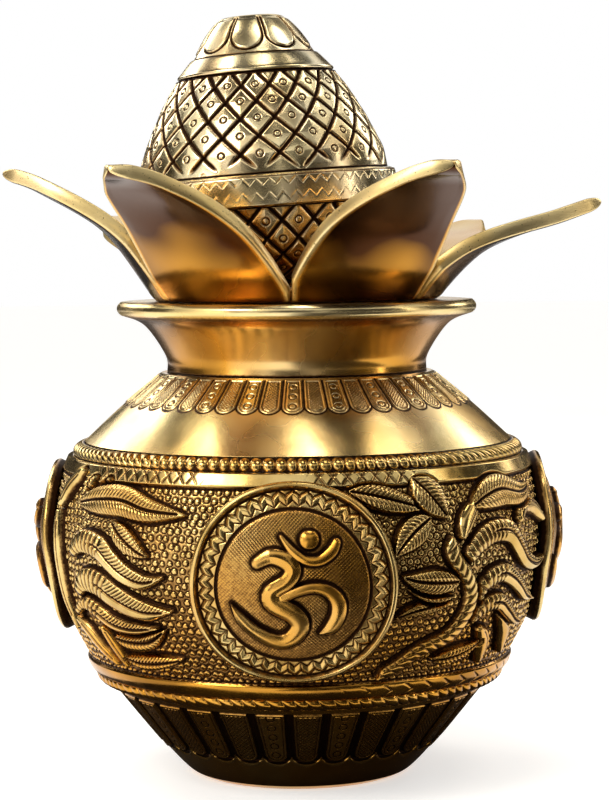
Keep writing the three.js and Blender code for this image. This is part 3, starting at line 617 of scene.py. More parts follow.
# Carved forms of the panels left and right of the front plaque, as in the CAD: what each one is, its
# width, and its middle line from the stalk to the tip as azimuths and heights above the belly's foot
LEFT_PANEL = [
    ("bud", 5, [(-67, 62), (-66.5, 52), (-67, 40), (-67, 30), (-64, 21)]),
    ("bud", 4.5, [(-51, 23), (-49, 16), (-47, 10)]),
    ("bud", 5.5, [(-62, 24), (-59, 20), (-55, 14), (-51, 10)]),
    ("bud", 6.5, [(-61, 76), (-65, 71), (-67, 64)]),
    ("leaf", 5, [(-54, 76), (-55, 72), (-54, 66.5)]),
    ("leaf", 5.5, [(-48, 76), (-50, 72), (-53, 67)]),
    ("leaf", 6.5, [(-47, 13), (-42, 12), (-36, 12.5), (-28, 14.5)]),
    ("leaf", 8, [(-48, 20), (-42, 19.5), (-36, 20.5), (-31, 25)]),
    ("curl", 6, [(-61, 27), (-57, 31), (-52, 29), (-47, 25.5), (-41, 24.3), (-33, 25.5)]),
    ("curl", 10, [(-58, 35), (-55, 39), (-50, 39), (-45, 35.5), (-40, 32.5), (-35, 31), (-28.5, 32)]),
    ("leaf", 8, [(-44, 61), (-40, 56), (-36, 52), (-33, 50)]),
    ("curl", 9, [(-58, 49), (-54, 53), (-48, 52), (-44, 47.5), (-40, 43.5), (-35, 41.5), (-30, 43.5)]),
    ("leaf", 11.5, [(-58, 65.5), (-50, 67.5), (-42, 68), (-34, 65.5), (-24, 64.7)]),
]
RIGHT_PANEL = [
    ("bud", 7.5, [(53, 26), (57, 20), (59, 12)]),
    ("bud", 7, [(46, 22), (49, 17), (50, 10)]),
    ("leaf", 6, [(33, 13), (38, 13.5), (43, 15), (48, 18)]),
    ("bud", 7, [(57, 59), (60, 63), (65, 62), (69, 57)]),
    ("curl", 6.5, [(42, 26), (46, 30.5), (51, 31), (55, 27.5), (60, 23), (65, 21)]),
    ("curl", 7, [(43, 33), (45, 39), (50, 41.5), (54, 39.5), (58, 36), (63, 31), (68, 29)]),
    ("curl", 8, [(38, 46), (41, 52), (46, 56), (52, 55.5), (56, 50), (60, 44.5), (66, 42), (71, 45)]),
    ("stalk", 6, [(34, 56), (35, 49), (39, 42), (41, 35), (40, 28), (36, 21), (29, 17), (24, 12), (19, 8)]),
    ("bud", 7, [(42, 66), (39, 61), (37, 56)]),
    ("leaf", 12, [(41, 65), (46, 68), (52, 69.5), (60, 67.5), (67, 70)]),
    ("leaf", 5.5, [(36, 34.5), (30, 33), (25, 31.5), (21, 29)]),
    ("leaf", 5, [(36, 36), (29, 36.5), (24, 39)]),
    ("leaf", 9, [(37, 40.5), (31, 41), (26, 42), (22, 44)]),
    ("leaf", 9, [(11, 72.5), (16, 71), (22, 68.5), (29, 65.5)]),
    ("leaf", 12, [(26.5, 76), (29, 72), (31.5, 67), (34, 62)]),
    ("leaf", 10, [(29.5, 63), (25, 58.5), (21.5, 53), (20.5, 50)]),
]


CARVERS = {"leaf": blade, "bud": bud, "curl": curl, "stalk": stalk}


def draw_panel(skin, panel, half_turn):
    for kind, width, line in panel:
        path = [((azimuth + 180 * half_turn + 180) % 360 - 180, BELLY_BASE + up) for azimuth, up in line]
        window = Window(skin, path, width / 2 + 2)
        if not window.empty:
            CARVERS[kind](skin, window, width)


def belly_mesh():
    skin = Skin(BELLY_OUTLINE, around(0.17), 0.26)
    low, high = skin.level(LOWER_BAND_TOP), skin.level(UPPER_BAND_FOOT)
    punched_rings(skin, PUNCH_PITCH, PUNCH_RADIUS, PUNCH_DEPTH, low, high, seed=3)
    s = skin.s[:, None]
    lower, upper = ramp(low - s, -0.3, 0.6), ramp(s - high, -0.3, 0.6)
    roll = np.sqrt(np.clip(1 - (2 * s / low - 1) ** 2, 0, 1)) * (s < low)
    # Painted shade: a darker tone over the lower belly, and more on the lower band; the upper band is a
    # little lighter
    skin.tone += 0.28 * (1 - ramp(skin.z, BELLY_BASE + 8, BELLY_BASE + 50))[:, None]
    skin.lift = skin.lift * (1 - lower - upper) + (0.4 + 1.2 * roll) * lower + 1.0 * upper
    skin.tone += 0.16 * lower - 0.1 * upper
    skin.dark *= 1 - lower - upper
    band_marks(skin, low, high)
    skin.darken(np.maximum(bell(s - low - 0.5, 0.5), bell(s - high + 0.5, 0.5)))
    for half_turn in (0, 1):
        draw_panel(skin, LEFT_PANEL, half_turn)
        draw_panel(skin, RIGHT_PANEL, half_turn)
    skin.fade_ends(0.8)
    inner = smooth([(BELLY_TOP_RADIUS - 4, BELLY_TOP), (BELLY_RADIUS - 5.5, BELLY_BASE + 66),
                    (BELLY_RADIUS - 3.4, BELLY_BASE + 49), (BELLY_RADIUS - 9, BELLY_BASE + 24.6),
                    (BELLY_FOOT_RADIUS - 4, BELLY_BASE)], 9)
    return turned_mesh("belly_shell_carved", skin, inner)


def band_marks(skin, low, high):
    """Incised diamonds in patches of the upper plain band and chevrons on the lower one."""
    az = skin.az[None, :]
    s = skin.s[:, None]
    up = (s - high) / (skin.s[-1] - high)
    patch = ramp(np.cos(np.radians(2 * az + 78)), 0.80, 0.9)
    patch = patch + ramp(np.cos(np.radians(2 * az - 30)), 0.88, 0.95)
    patch = np.minimum(patch, 1) * (up > 0.1) * (up < 0.92)
    turns = az * BAND_DIAMONDS / 360
    cut = np.maximum(1 - wave(turns + 0.8 * up), 1 - wave(turns - 0.8 * up)) ** 6 * patch
    chevron = (1 - wave(az * BAND_CHEVRONS / 360 + 0.5 * np.abs(2 * s / low - 1))) ** 8
    chevron = chevron * ramp(np.sin(np.radians(az - 5)), 0, 0.4) * (s > 0.8) * (s < low - 0.8)
    marks = np.maximum(cut, chevron)
    skin.lift -= 0.4 * marks
    skin.darken(0.7 * marks)


# Plaques

FRONT_PLAQUE_RADIUS = (BELLY_LENGTH - PLAQUE_FOOT_MARGIN - PLAQUE_TOP_MARGIN) / 2
PLAQUE_RISE = PLAQUE_FOOT_MARGIN + FRONT_PLAQUE_RADIUS
RIBBON_TURN = math.radians(360 / RIBBON_ZIGZAGS)
SIGN = [
    ([(-0.33, 0.25), (-0.2, 0.31), (-0.06, 0.27), (0, 0.19), (-0.06, 0.08), (-0.2, -0.02),
      (-0.18, -0.13), (0, -0.24), (0.06, -0.36), (-0.03, -0.49), (-0.16, -0.51), (-0.34, -0.42),
      (-0.48, -0.29), (-0.58, -0.14)],
     [0.06, 0.075, 0.085, 0.085, 0.085, 0.09, 0.1, 0.1, 0.095, 0.09, 0.08, 0.07, 0.06, 0.012]),
    ([(-0.1, -0.08), (0.05, -0.01), (0.2, 0.02), (0.33, -0.02), (0.41, -0.12), (0.41, -0.25),
      (0.34, -0.38), (0.24, -0.43)],
     [0.05, 0.055, 0.06, 0.07, 0.08, 0.08, 0.07, 0.02]),
    ([(-0.11, 0.48), (-0.01, 0.36), (0.11, 0.28), (0.24, 0.27), (0.35, 0.34), (0.4, 0.42)],
     [0.025, 0.045, 0.05, 0.055, 0.06, 0.05]),
    ([(0.14, 0.45), (0.16, 0.45)], [0.09, 0.09]),
]


def on_plaque(across, up, offset):
    """Points on the belly from places on the front plaque, `offset` out of the wall."""
    length = np.concatenate([[0], np.cumsum(np.hypot(*np.diff(BELLY_OUTLINE, axis=0).T))])
    s = PLAQUE_RISE + up
    r = np.interp(s, length, BELLY_OUTLINE[:, 0])
    z = np.interp(s, length, BELLY_OUTLINE[:, 1])
    run = np.gradient(BELLY_OUTLINE, axis=0)
    run /= np.linalg.norm(run, axis=1)[:, None]
    nr, nz = np.interp(s, length, run[:, 1]), -np.interp(s, length, run[:, 0])
    turn = across / r
    out = r + nr * offset
    return np.stack([out * np.sin(turn), -out * np.cos(turn), z + nz * offset], axis=-1)


def stroke_away(x, y, line, half):
    """Distance outside a stroke of changing width; inside it is negative."""
    dense = smooth([(a, b, c) for (a, b), c in zip(line, half)], 60)
    away = np.full(x.shape, 1e9)
    for (x0, y0, h0), (x1, y1, h1) in zip(dense[:-1], dense[1:]):
        dx, dy = x1 - x0, y1 - y0
        share = np.clip(((x - x0) * dx + (y - y0) * dy) / max(dx * dx + dy * dy, 1e-12), 0, 1)
        spot = np.hypot(x - x0 - share * dx, y - y0 - share * dy) - (h0 + share * (h1 - h0))
        away = np.minimum(away, spot)
    return away


def plaque_relief(rho, angle, x, y, radius, disc_radius):
    """Height above the wall and darkening of a plaque's face: a hatched disc with the sign, a groove, a
    band with a zigzag ribbon, and the rim. The darkening is grime in the cuts, with a painted shadow over the
    disc's lower part."""
    disc = PLAQUE_THICKNESS - 1
    band_foot = radius - PLAQUE_RIM_WIDTH
    bend = 0.5 * np.sin(x / 5.3 + 1) + 0.5 * np.sin(y / 4.1)
    hatch = np.maximum((1 - wave((x + y + bend) / 1.15)) ** 2, (1 - wave((x - y + bend) / 1.3)) ** 2)
    height = disc - 0.16 * hatch
    # Painted shadow: the disc darkens towards its lower part
    dark = 0.1 + 0.25 * hatch + 0.14 * ramp(-y, -8, 16)
    away = np.min([stroke_away(x / radius, y / radius, line, half) for line, half in SIGN], axis=0)
    away = away * radius
    raised = ramp(-away, -0.15, 0.5)
    crown = 1 - (1 - np.clip(-away / 3.4, 0, 1)) ** 2
    near = 1 - np.clip(away / 1.3, 0, 1)
    height = height * (1 - raised) + raised * (disc + SIGN_HEIGHT - 1.5 + 1.5 * crown)
    height -= 0.35 * near * (away > 0)
    dark = np.where(away > 0, np.maximum(dark, near), 0.75 * (1 - ramp(-away, 0.1, 0.9)))
    groove = bell(rho - disc_radius + PLAQUE_GROOVE_WIDTH, 0.7)
    height -= 0.9 * groove
    dark = np.maximum(dark, groove)
    turn = angle / RIBBON_TURN
    middle = disc_radius + PLAQUE_BAND_WIDTH / 2
    from_ribbon = np.abs(rho - middle - (wave(turn) - 0.5) * 1.9)
    on_band = ramp(rho - disc_radius, -0.2, 0.4) * (rho < band_foot)
    crease = bell(from_ribbon - 1.85, 0.3)
    facet = np.clip(1 - from_ribbon / 1.75, 0, 1) * (0.75 + 0.25 * wave(turn))
    chip = bell((turn - np.round(turn)) * middle * RIBBON_TURN, 0.3) * (from_ribbon < 1.7) * on_band
    past_disc = rho > disc_radius - 0.2
    height = np.where(past_disc, PLAQUE_THICKNESS - 1.5 + 0.95 * facet - 0.35 * crease, height)
    height = height - 0.3 * chip
    dark = np.maximum(np.where(past_disc, 0.85 * crease * on_band, dark), 0.45 * chip)
    step = bell(rho - band_foot, 0.4)
    rim = ramp(rho - band_foot, 0.1, 0.7)
    rim_height = PLAQUE_THICKNESS - 0.7 * ramp(rho, radius - 1.2, radius)
    height = height * (1 - rim) + rim * rim_height - 0.4 * step
    return height, np.maximum(dark * (1 - rim), 0.8 * step)


def plaque_mesh(name, azimuth, size, raised_by):
    radius = FRONT_PLAQUE_RADIUS * size
    disc_radius = radius - PLAQUE_RIM_WIDTH - PLAQUE_BAND_WIDTH
    rings = np.linspace(0.4, radius - 0.35, int(radius / (0.22 * COARSE)))
    columns = int(760 / COARSE)
    angle = np.linspace(0, 2 * math.pi, columns, endpoint=False)[None, :]
    rho = rings[:, None] + 0 * angle
    x, y = rho * np.cos(angle), rho * np.sin(angle)
    height, dark = plaque_relief(rho, angle, x, y, radius, disc_radius)
    top = on_plaque(x, y + raised_by, height)
    sides = [(radius, PLAQUE_THICKNESS - 1.0, 0.2), (radius, 2.4, 0.6), (radius, 1.2, 0.9),
             (radius, GAP, 1.0)]
    sides += [(radius * share, GAP, 0.5) for share in (0.8, 0.6, 0.4, 0.2)]
    rows, darks = [top], [dark]
    for ring, offset, shade in sides:
        rows.append(on_plaque(ring * np.cos(angle), ring * np.sin(angle) + raised_by, offset))
        darks.append(np.full((1, columns), shade))
    centre = np.full(1, float(raised_by))
    poles = (on_plaque(np.zeros(1), centre, height[:1, 0])[0],
             on_plaque(np.zeros(1), centre, GAP)[0])
    cos, sin = math.cos(math.radians(azimuth)), math.sin(math.radians(azimuth))
    turn = np.array([[cos, -sin, 0], [sin, cos, 0], [0, 0, 1]])
    poles = tuple(turn @ pole for pole in poles)
    darks = np.concatenate(darks)
    tone = np.full(darks.shape, 0.12)
    # Painted shade: the disc and sign get a darker tone for the dark reflection they show
    tone[:len(rings)] += 0.3 * (rho < disc_radius)
    return grid_mesh(name + "_carved", np.concatenate(rows) @ turn.T, darks, False, poles, tone)


# Other pieces of the pot

def bowl_mesh():
    corner = smooth([(BASE_RADIUS, 0), (BASE_RADIUS + BASE_CORNER, BASE_CORNER * 0.65),
                     (BASE_RADIUS + BASE_CORNER + 9.8, BASE_CORNER + 9.2),
                     (BOWL_RIM_RADIUS, BOWL_HEIGHT)], 300)
    skin = Skin(corner, around(0.22), 0.26)
    end = skin.level(13.0)
    tongues(skin, BOWL_TONGUES, BOWL_TONGUES_TURN, end, skin.level(BOWL_HEIGHT - 1.8), gap=2.9,
            lift=0.55, ring_step=4.6, ring_radius=1.4, hatch=1.6, deep=0.5)
    s = skin.s[:, None]
    turn = (skin.az - BOWL_TONGUES_TURN) * BOWL_TONGUES / 360
    across = np.abs(turn - np.round(turn))[None, :]
    scallop = bell(s - end + 2.5 - 3.2 * (2 * across) ** 2, 0.5)
    skin.lift += 0.45 * scallop
    # Painted shade: the bowl gets a dark tone for the dark reflection under the pot; the raised scallop line
    # stays a little lighter
    skin.tone += 0.3 - 0.15 * scallop
    skin.fade_ends(0.6)
    inside = smooth([(BOWL_RIM_RADIUS - POT_WALL * 1.4, BOWL_HEIGHT),
                     (BASE_RADIUS + 10.6, 14 + POT_WALL * 0.3),
                     (BASE_RADIUS - 2, POT_WALL + 1.6), (BASE_RADIUS - 10, POT_WALL)], 12)
    under = [(12, 0), (BASE_RADIUS - 8, 0), (BASE_RADIUS - 1, 0)]
    return turned_mesh("base_bowl_carved", skin, inside, before=under, poles=(0, POT_WALL))


def rope_mesh(name, outline, strands, slants, depth, step, tone):
    """A rope ring: `slants` gives the strands' slant at the front and at the sides."""
    skin = Skin(smooth(outline, 60), around(step), 0.2)
    length = skin.s[-1]
    up = (skin.s / length - 0.5)[:, None]
    slant = slants[0] + (slants[1] - slants[0]) * ramp(np.abs(np.sin(np.radians(skin.az))), 0.45, 0.8)
    phase = (skin.az * strands / 360 + 0.12 * np.sin(np.radians(skin.az * 23)))[None, :] + slant * up
    bulge = np.sqrt(np.clip(1 - (2 * up) ** 2, 0, 1))
    off_middle = (1 - wave(phase)) ** 2
    round_bead = np.sqrt(np.clip(1 - off_middle - (2 * up) ** 2, 0, 1))
    form = round_bead + (bulge * np.sqrt(1 - off_middle) - round_bead) * np.clip(np.abs(slant), 0, 1)
    skin.lift = (depth + 0.2) * form - 0.15
    skin.dark = ramp(1 - form, 0.7, 1.1)
    skin.tone += tone
    return turned_mesh(name, skin, [(r - POT_WALL, z) for r, z in (outline[-1], outline[0])])


def shoulder_mesh():
    outline = smooth([(SHOULDER_RADIUS, SHOULDER_BASE),
                      ((SHOULDER_RADIUS + NECK_RADIUS) / 2 + 1.9, SHOULDER_BASE + SHOULDER_HEIGHT / 2),
                      (NECK_RADIUS + 2.3, SHOULDER_TOP)], 200)
    skin = Skin(outline, around(0.2), 0.24)
    tongues(skin, SHOULDER_TONGUES, SHOULDER_TONGUES_TURN, skin.level(SHOULDER_BASE + 13.6),
            skin.level(SHOULDER_TOP - 0.5), gap=0.7, lift=0.3, ring_step=5.0, ring_radius=1.3,
            hatch=1.3)
    skin.dark *= 0.72
    skin.tone += 0.05
    skin.fade_ends(0.5)
    inside = [(NECK_RADIUS - 3, SHOULDER_TOP), (NECK_RADIUS, SHOULDER_TOP - 3),
              (58, SHOULDER_BASE + 11), (68, SHOULDER_BASE + 3.5), (SHOULDER_RADIUS - 5.3, SHOULDER_BASE)]
    return turned_mesh("shoulder_shell_carved", skin, inside)


def neck_mesh():
    lip_foot = LIP_TOP - LIP_THICKNESS
    flare = smooth([(NECK_RADIUS, NECK_BASE), (NECK_RADIUS + 0.7, NECK_BASE + NECK_HEIGHT * 0.24),
                    (NECK_RADIUS + 8.2, lip_foot - 3.8), (LIP_RADIUS - 2, lip_foot)], 60)
    edge = smooth([(LIP_RADIUS - 1.2, lip_foot + 0.2), (LIP_RADIUS, lip_foot + LIP_THICKNESS * 0.32),
                   (LIP_RADIUS, lip_foot + LIP_THICKNESS * 0.7), (LIP_RADIUS - 1.3, LIP_TOP)], 14)
    mouth = [(LIP_RADIUS - 6, LIP_TOP), (MOUTH_RADIUS + 4, LIP_TOP), (MOUTH_RADIUS + 0.5, LIP_TOP),
             (MOUTH_RADIUS, LIP_TOP - 0.5), (MOUTH_RADIUS, LIP_TOP - 10.8),
             (NECK_RADIUS - POT_WALL, NECK_BASE)]
    skin = Skin(np.vstack([flare, edge]), around(0.8), 0.4)
    turn = np.radians(skin.az)
    wobble = np.sin(turn * 5 + 1) + 0.6 * np.sin(turn * 13)
    top = ramp(skin.z, lip_foot - 1, lip_foot + 1)[:, None]
    skin.lift += 0.08 * wobble * top
    under_lip = bell(skin.z - lip_foot + 0.3, 0.7) * 0.45
    # Painted reflection and painted shade: the neck's warm, dark tone changes round it, a little more on the
    # left and little in front
    colour_shift = 0.54 + 0.1 * np.clip(-np.sin(turn), 0, 1) - 0.42 * np.clip(np.cos(turn), 0, 1) ** 6
    skin.tone += (1 - top) * colour_shift - 0.1 * top
    skin.dark += np.maximum(0.8 * (1 - ramp(skin.z, NECK_BASE, NECK_BASE + 1.2)), under_lip)[:, None]
    return turned_mesh("neck_and_lip_polished", skin, mouth, pale=3)


# Cup and collar of the crown

def cup_mesh():
    outside = LEAF_ROOT_RADIUS - LEAF_THICKNESS / 2 - 1
    wall = [(outside, CUP_BASE), (outside, CUP_BASE + 4.6), (outside - 0.4, CUP_BASE + 5)]
    skin = Skin(np.array(wall), around(1.2), 0.8)
    skin.dark += 0.3
    skin.tone += HIDDEN_TONE
    inside = [(outside - 2.6, CUP_BASE + 5), (outside - 3, CUP_BASE + 4.6), (outside - 5, CUP_BASE + 3)]
    return turned_mesh("leaf_cup_cast", skin, inside, before=[(20, CUP_BASE)],
                       poles=(CUP_BASE, CUP_BASE + 3))


def collar_mesh():
    edge = MOUTH_RADIUS - 0.8
    top, foot = CUP_BASE - GAP, CUP_BASE - GAP - 10
    profile = [(edge - 3, foot), (edge - 0.8, foot), (edge - 0.2, foot + 0.5), (edge, foot + 1.2),
               (edge, top), (edge - 3, top)]
    rows = ring_rows(profile, around(1.2))
    return grid_mesh("locating_collar_turned", rows, np.full(rows.shape[:2], INSIDE_DARK), closed=True)


# Leaves

def leaf_mesh(name, roots, tip, reach, rise):
    # Painted reflection and painted shade on each leaf's outside face: a warm tone that turns dark brown
    # towards the tip, lighter on the front left leaf
    outside_face_shade = 0.62 if name == "leaf_front_left" else 0.74
    sections = int(120 / COARSE)
    middle = smooth([(LEAF_ROOT_RADIUS, CUP_BASE),
                     (LEAF_ROOT_RADIUS + LEAF_MID_REACH, CUP_BASE + rise * LEAF_MID_SHARE),
                     (reach - 14, CUP_BASE + rise - 5), (reach, CUP_BASE + rise)], sections)
    run = np.gradient(middle, axis=0)
    run /= np.linalg.norm(run, axis=1)[:, None]
    upright = np.clip(np.arange(sections) / (sections * 0.06), 0, 1)[:, None]
    run = run * upright + np.array([0.0, 1.0]) * (1 - upright)
    run /= np.linalg.norm(run, axis=1)[:, None]
    share = np.linspace(0, 1, sections)
    form = smooth([(0, 1.12), (0.25, 1.08), (0.5, 0.95), (0.75, 0.66), (1, 0.1)], 400)
    width = LEAF_HALF_WIDTH * np.interp(share, form[:, 0], form[:, 1])
    width *= np.sqrt(np.clip(1 - np.clip((share - 0.94) / 0.06, 0, 1) ** 2 * 0.96, 0, 1))
    root = (roots[0] + roots[1]) / 2
    azimuth = root + (tip - root) * np.minimum(share * 1.3, 1)
    half = np.degrees(width / middle[:, 0])
    thick = LEAF_THICKNESS / 2 * (1 - 0.3 * ramp(share, 0.93, 1.0))
    thick = thick * np.sqrt(1 - 0.92 * np.clip((share - 0.965) / 0.035, 0, 1) ** 2)
    roundness = 1 + (LEAF_ROUNDNESS - 1) * np.minimum(share * 2.5, 1)
    gap = math.degrees(GAP / LEAF_ROOT_RADIUS) + np.degrees((1 - roundness) * thick / middle[:, 0])
    left = np.maximum(azimuth - half, roots[0] + gap)
    right = np.minimum(azimuth + half, roots[1] - gap)
    centre, spread = (left + right) / 2, (right - left) / 2
    corner = np.minimum(0.9, np.radians(spread) * middle[:, 0] * 0.6)
    inset = np.degrees(corner / middle[:, 0])
    face = np.linspace(-1, 1, 27)
    bend = np.radians([18, 45, 72])
    edge = [(1.0, 1.0, float(math.cos(a)), float(math.sin(a))) for a in bend[::-1]]
    ring = [(float(f), 1.0, 0.0, 1.0) for f in face] + edge
    ring += [(a, -o, b, c) for a, o, b, c in edge[::-1]]
    ring += [(-float(f), -1.0, 0.0, 1.0) for f in face]
    ring += [(-a, -o, b, c) for a, o, b, c in edge] + [(-a, o, b, c) for a, o, b, c in edge[::-1]]
    rows = np.zeros((sections, len(ring), 3))
    grime_and_shade = np.zeros((sections, len(ring)))
    tone = np.zeros((sections, len(ring)))
    for k, (across, out, beside, above) in enumerate(ring):
        swing = np.radians(across * (spread - inset + beside * inset))
        wander = 0.25 * np.sin(share * 9 + across * 2.3 + root) * np.sin(share * math.pi)
        lift = (thick - corner * (1 - above)) * out + wander * (abs(across) < 0.9)
        reach_out = middle[:, 0] * (roundness + (1 - roundness) / np.cos(swing))
        turn, facing = np.radians(centre) + swing, np.radians(centre) + swing * roundness
        push = run[:, 1] * lift
        rows[:, k, 0] = reach_out * np.sin(turn) + push * np.sin(facing)
        rows[:, k, 1] = -reach_out * np.cos(turn) - push * np.cos(facing)
        rows[:, k, 2] = middle[:, 1] - run[:, 0] * lift
        flat = beside == 0 and abs(across) < 0.95
        grime_and_shade[:, k] = 0.6 * (1 - ramp(share, 0, 0.04))
        tone[:, k] = (outside_face_shade + 0.42 * ramp(share, 0.2, 0.7) if out > 0 else 0.2) if flat else 0.05
    poles = (rows[0].mean(0), rows[-1].mean(0))
    mesh = grid_mesh(name + "_cast", rows, grime_and_shade, False, poles, tone)
    rim_mark = mesh.attributes.new("rim", "FLOAT", "POINT")
    marks = np.tile([1.0 if b > 0 or abs(a) > 0.97 else 0.0 for a, _, b, _ in ring], (sections, 1))
    marks[share > 0.985] = 1.0
    rim_mark.data.foreach_set("value", np.concatenate([marks.reshape(-1), [0, 1]]).astype(np.float32))
    return mesh


# Coconut, made about its own axis and then leant and set on its seat

def lean(points):
    x, y, z = points[..., 0], points[..., 1], points[..., 2]
    cos, sin = math.cos(COCONUT_LEAN), math.sin(COCONUT_LEAN)
    return np.stack([x * cos - z * sin + COCONUT_FOOT[0], y + COCONUT_FOOT[1],
                     x * sin + z * cos + COCONUT_FOOT[2]], axis=-1)


LOWER_TOP = COCONUT_LOWER_HEIGHT
BELT_FOOT = LOWER_TOP + GAP
BELT_TOP = BELT_FOOT + BELT_HEIGHT
DOME_FOOT = BELT_TOP + GAP
DOME_TOP = DOME_FOOT + DOME_HEIGHT
RING_FOOT = DOME_TOP + GAP
RING_TOP = RING_FOOT + RING_HEIGHT
TIP_FOOT = RING_TOP + GAP
TIP_TOP = TIP_FOOT + TIP_HEIGHT


def lower_shell_mesh():
    outline = smooth([(24, 0), (33, 4.5), (42.6, LOWER_TOP / 2), (46.6, LOWER_TOP)], 200)
    skin = Skin(outline, around(0.32), 0.26)
    lattice(skin, LOWER_LATTICE_COUNT, LOWER_LATTICE_TALL, 0.9, 1.3)
    skin.tone += 0.12
    skin.fade_ends(0.5)
    inside = smooth([(43.6, LOWER_TOP), (38.6, LOWER_TOP / 2 + 1), (24, COCONUT_WALL)], 8)
    return turned_mesh("coconut_lower_shell_cut", skin, inside, before=[(10, 0), (22, 0)],
                       poles=(0, COCONUT_WALL), place=lean)


def belt_mesh():
    outline = [(BELT_RADIUS - 1.6, BELT_FOOT), (BELT_RADIUS - 0.2, BELT_FOOT + 0.7),
               (BELT_RADIUS, BELT_FOOT + 1.6), (BELT_RADIUS, BELT_TOP - 1.6),
               (BELT_RADIUS - 0.2, BELT_TOP - 0.7), (BELT_RADIUS - 1.6, BELT_TOP)]
    skin = Skin(smooth(outline, 80), around(0.3), 0.24)
    s = skin.s[:, None]
    top = skin.s[-1]
    swing = wave((skin.az * BELT_ZIGZAGS / 360)[None, :]) - 0.5
    loose = 0.5 + 0.5 * np.sin(np.radians(skin.az * 7))[None, :]
    marks = np.maximum(bell(s - top * 0.72 - 2.4 * swing, 0.26),
                       0.6 * bell(s - top * 0.34 - 2.6 * swing, 0.26))
    marks = marks * (0.45 + 0.55 * loose)
    skin.tone += 0.02
    line = bell(s - top + 2.0, 0.3)
    skin.lift -= 0.3 * marks + 0.3 * line
    skin.darken(np.maximum(0.4 * marks, 0.5 * line))
    skin.darken_ends(0.8)
    inside = [(BELT_RADIUS - 4.6, BELT_TOP), (BELT_RADIUS - 4.6, BELT_FOOT)]
    return turned_mesh("coconut_belt_cut", skin, inside, place=lean)


def dome_mesh():
    outline = smooth([(DOME_FOOT_RADIUS, DOME_FOOT), (DOME_FOOT_RADIUS - 1.6, DOME_FOOT + DOME_HEIGHT * 0.25),
                      (DOME_TOP_RADIUS + 6.8, DOME_FOOT + DOME_HEIGHT * 0.71),
                      (DOME_TOP_RADIUS, DOME_TOP)], 200)
    skin = Skin(outline, around(0.3), 0.24)
    lattice(skin, LATTICE_COUNT, LATTICE_TALL, 0.75, 1.2)
    uneven = 3.0 + 1.6 * np.sin(np.radians(skin.az * 11 + 40)) * np.sin(np.radians(skin.az * 4))
    fade = ramp(skin.s[:, None], uneven[None, :] - 2.2, uneven[None, :] + 2.4)
    skin.lift *= fade
    skin.dark *= fade
    skin.fade_ends(0.5)
    skin.darken_ends(0.7)
    inside = [(DOME_TOP_RADIUS - 3, DOME_TOP), (DOME_TOP_RADIUS + 3, DOME_FOOT + DOME_HEIGHT * 0.69),
              (DOME_FOOT_RADIUS - 5, DOME_FOOT + 8), (DOME_FOOT_RADIUS - 3, DOME_FOOT)]
    return turned_mesh("coconut_dome_cut", skin, inside, place=lean)


def ring_mesh():
    outline = [(RING_FOOT_RADIUS - 0.6, RING_FOOT), (RING_FOOT_RADIUS, RING_FOOT + 0.6),
               (RING_FOOT_RADIUS, RING_FOOT + 1.4), (RING_FOOT_RADIUS - 1, RING_FOOT + 2.4),
               (RING_TOP_RADIUS + 1, RING_TOP - 0.9), (RING_TOP_RADIUS, RING_TOP)]
    skin = Skin(smooth(outline, 80), around(0.8), 0.22)
    skin.darken_ends(0.6)
    inside = [(RING_TOP_RADIUS - 3.6, RING_TOP), (RING_FOOT_RADIUS - 3.8, RING_FOOT)]
    return turned_mesh("coconut_ring_polished", skin, inside, place=lean)


def tip_mesh():
    outline = smooth([(TIP_FOOT_RADIUS, TIP_FOOT),
                      ((TIP_FOOT_RADIUS + TIP_TOP_RADIUS) / 2, TIP_FOOT + TIP_HEIGHT * 0.56),
                      (TIP_TOP_RADIUS, TIP_FOOT + TIP_HEIGHT * 0.94),
                      (TIP_TOP_RADIUS - 2.6, TIP_TOP)], 120)
    skin = Skin(outline, around(0.5), 0.2)
    s = skin.s[:, None]
    flute = math.radians(360 / FLUTES)
    turn = (skin.az + 6) * FLUTES / 360
    across = (turn - np.round(turn))[None, :] * flute * skin.r[:, None]
    half = (flute / 2 * skin.r - 0.55)[:, None]
    away = np.hypot(across, np.maximum(3.0 + 0.8 * half - s, 0)) - half
    cut = bell(away, 0.4) * (1 - ramp(s, skin.s[-1] - 3.2, skin.s[-1] - 2.2))
    low = 1 - ramp(s, skin.s[-1] - 5, skin.s[-1] - 3)
    skin.lift += 0.35 * ramp(-away, 0, 0.9) * low - 0.6 * cut
    skin.darken(np.maximum(0.95 * cut, 0.5 * (1 - ramp(s, 0, 0.6))))
    skin.fade_ends(0.8)
    return turned_mesh("coconut_tip_fluted", skin, [(3, TIP_TOP)], before=[(12, TIP_FOOT)],
                       poles=(TIP_FOOT, TIP_TOP), place=lean, pale=1)


# Materials

def add_node(tree, kind, **values):
    made = tree.nodes.new(kind)
    for name, value in values.items():
        setattr(made, name, value)
    return made


def feed(tree, socket, value):
    """Links another node's output to a socket, or sets a plain value on it."""
    if isinstance(value, bpy.types.NodeSocket):
        tree.links.new(value, socket)
    else:
        socket.default_value = value


def mix_colour(tree, factor, first, second):
    made = add_node(tree, "ShaderNodeMix", data_type="RGBA")
    for socket, value in (("Factor", factor), ("A", first), ("B", second)):
        feed(tree, made.inputs[socket], value)
    return made.outputs["Result"]


def noise(tree, place, size_mm, detail, rough=0.5):
    made = add_node(tree, "ShaderNodeTexNoise")
    made.inputs["Scale"].default_value = 1 / (size_mm * MM)
    made.inputs["Detail"].default_value = detail
    made.inputs["Roughness"].default_value = rough
    tree.links.new(place, made.inputs["Vector"])
    return made.outputs["Fac"]


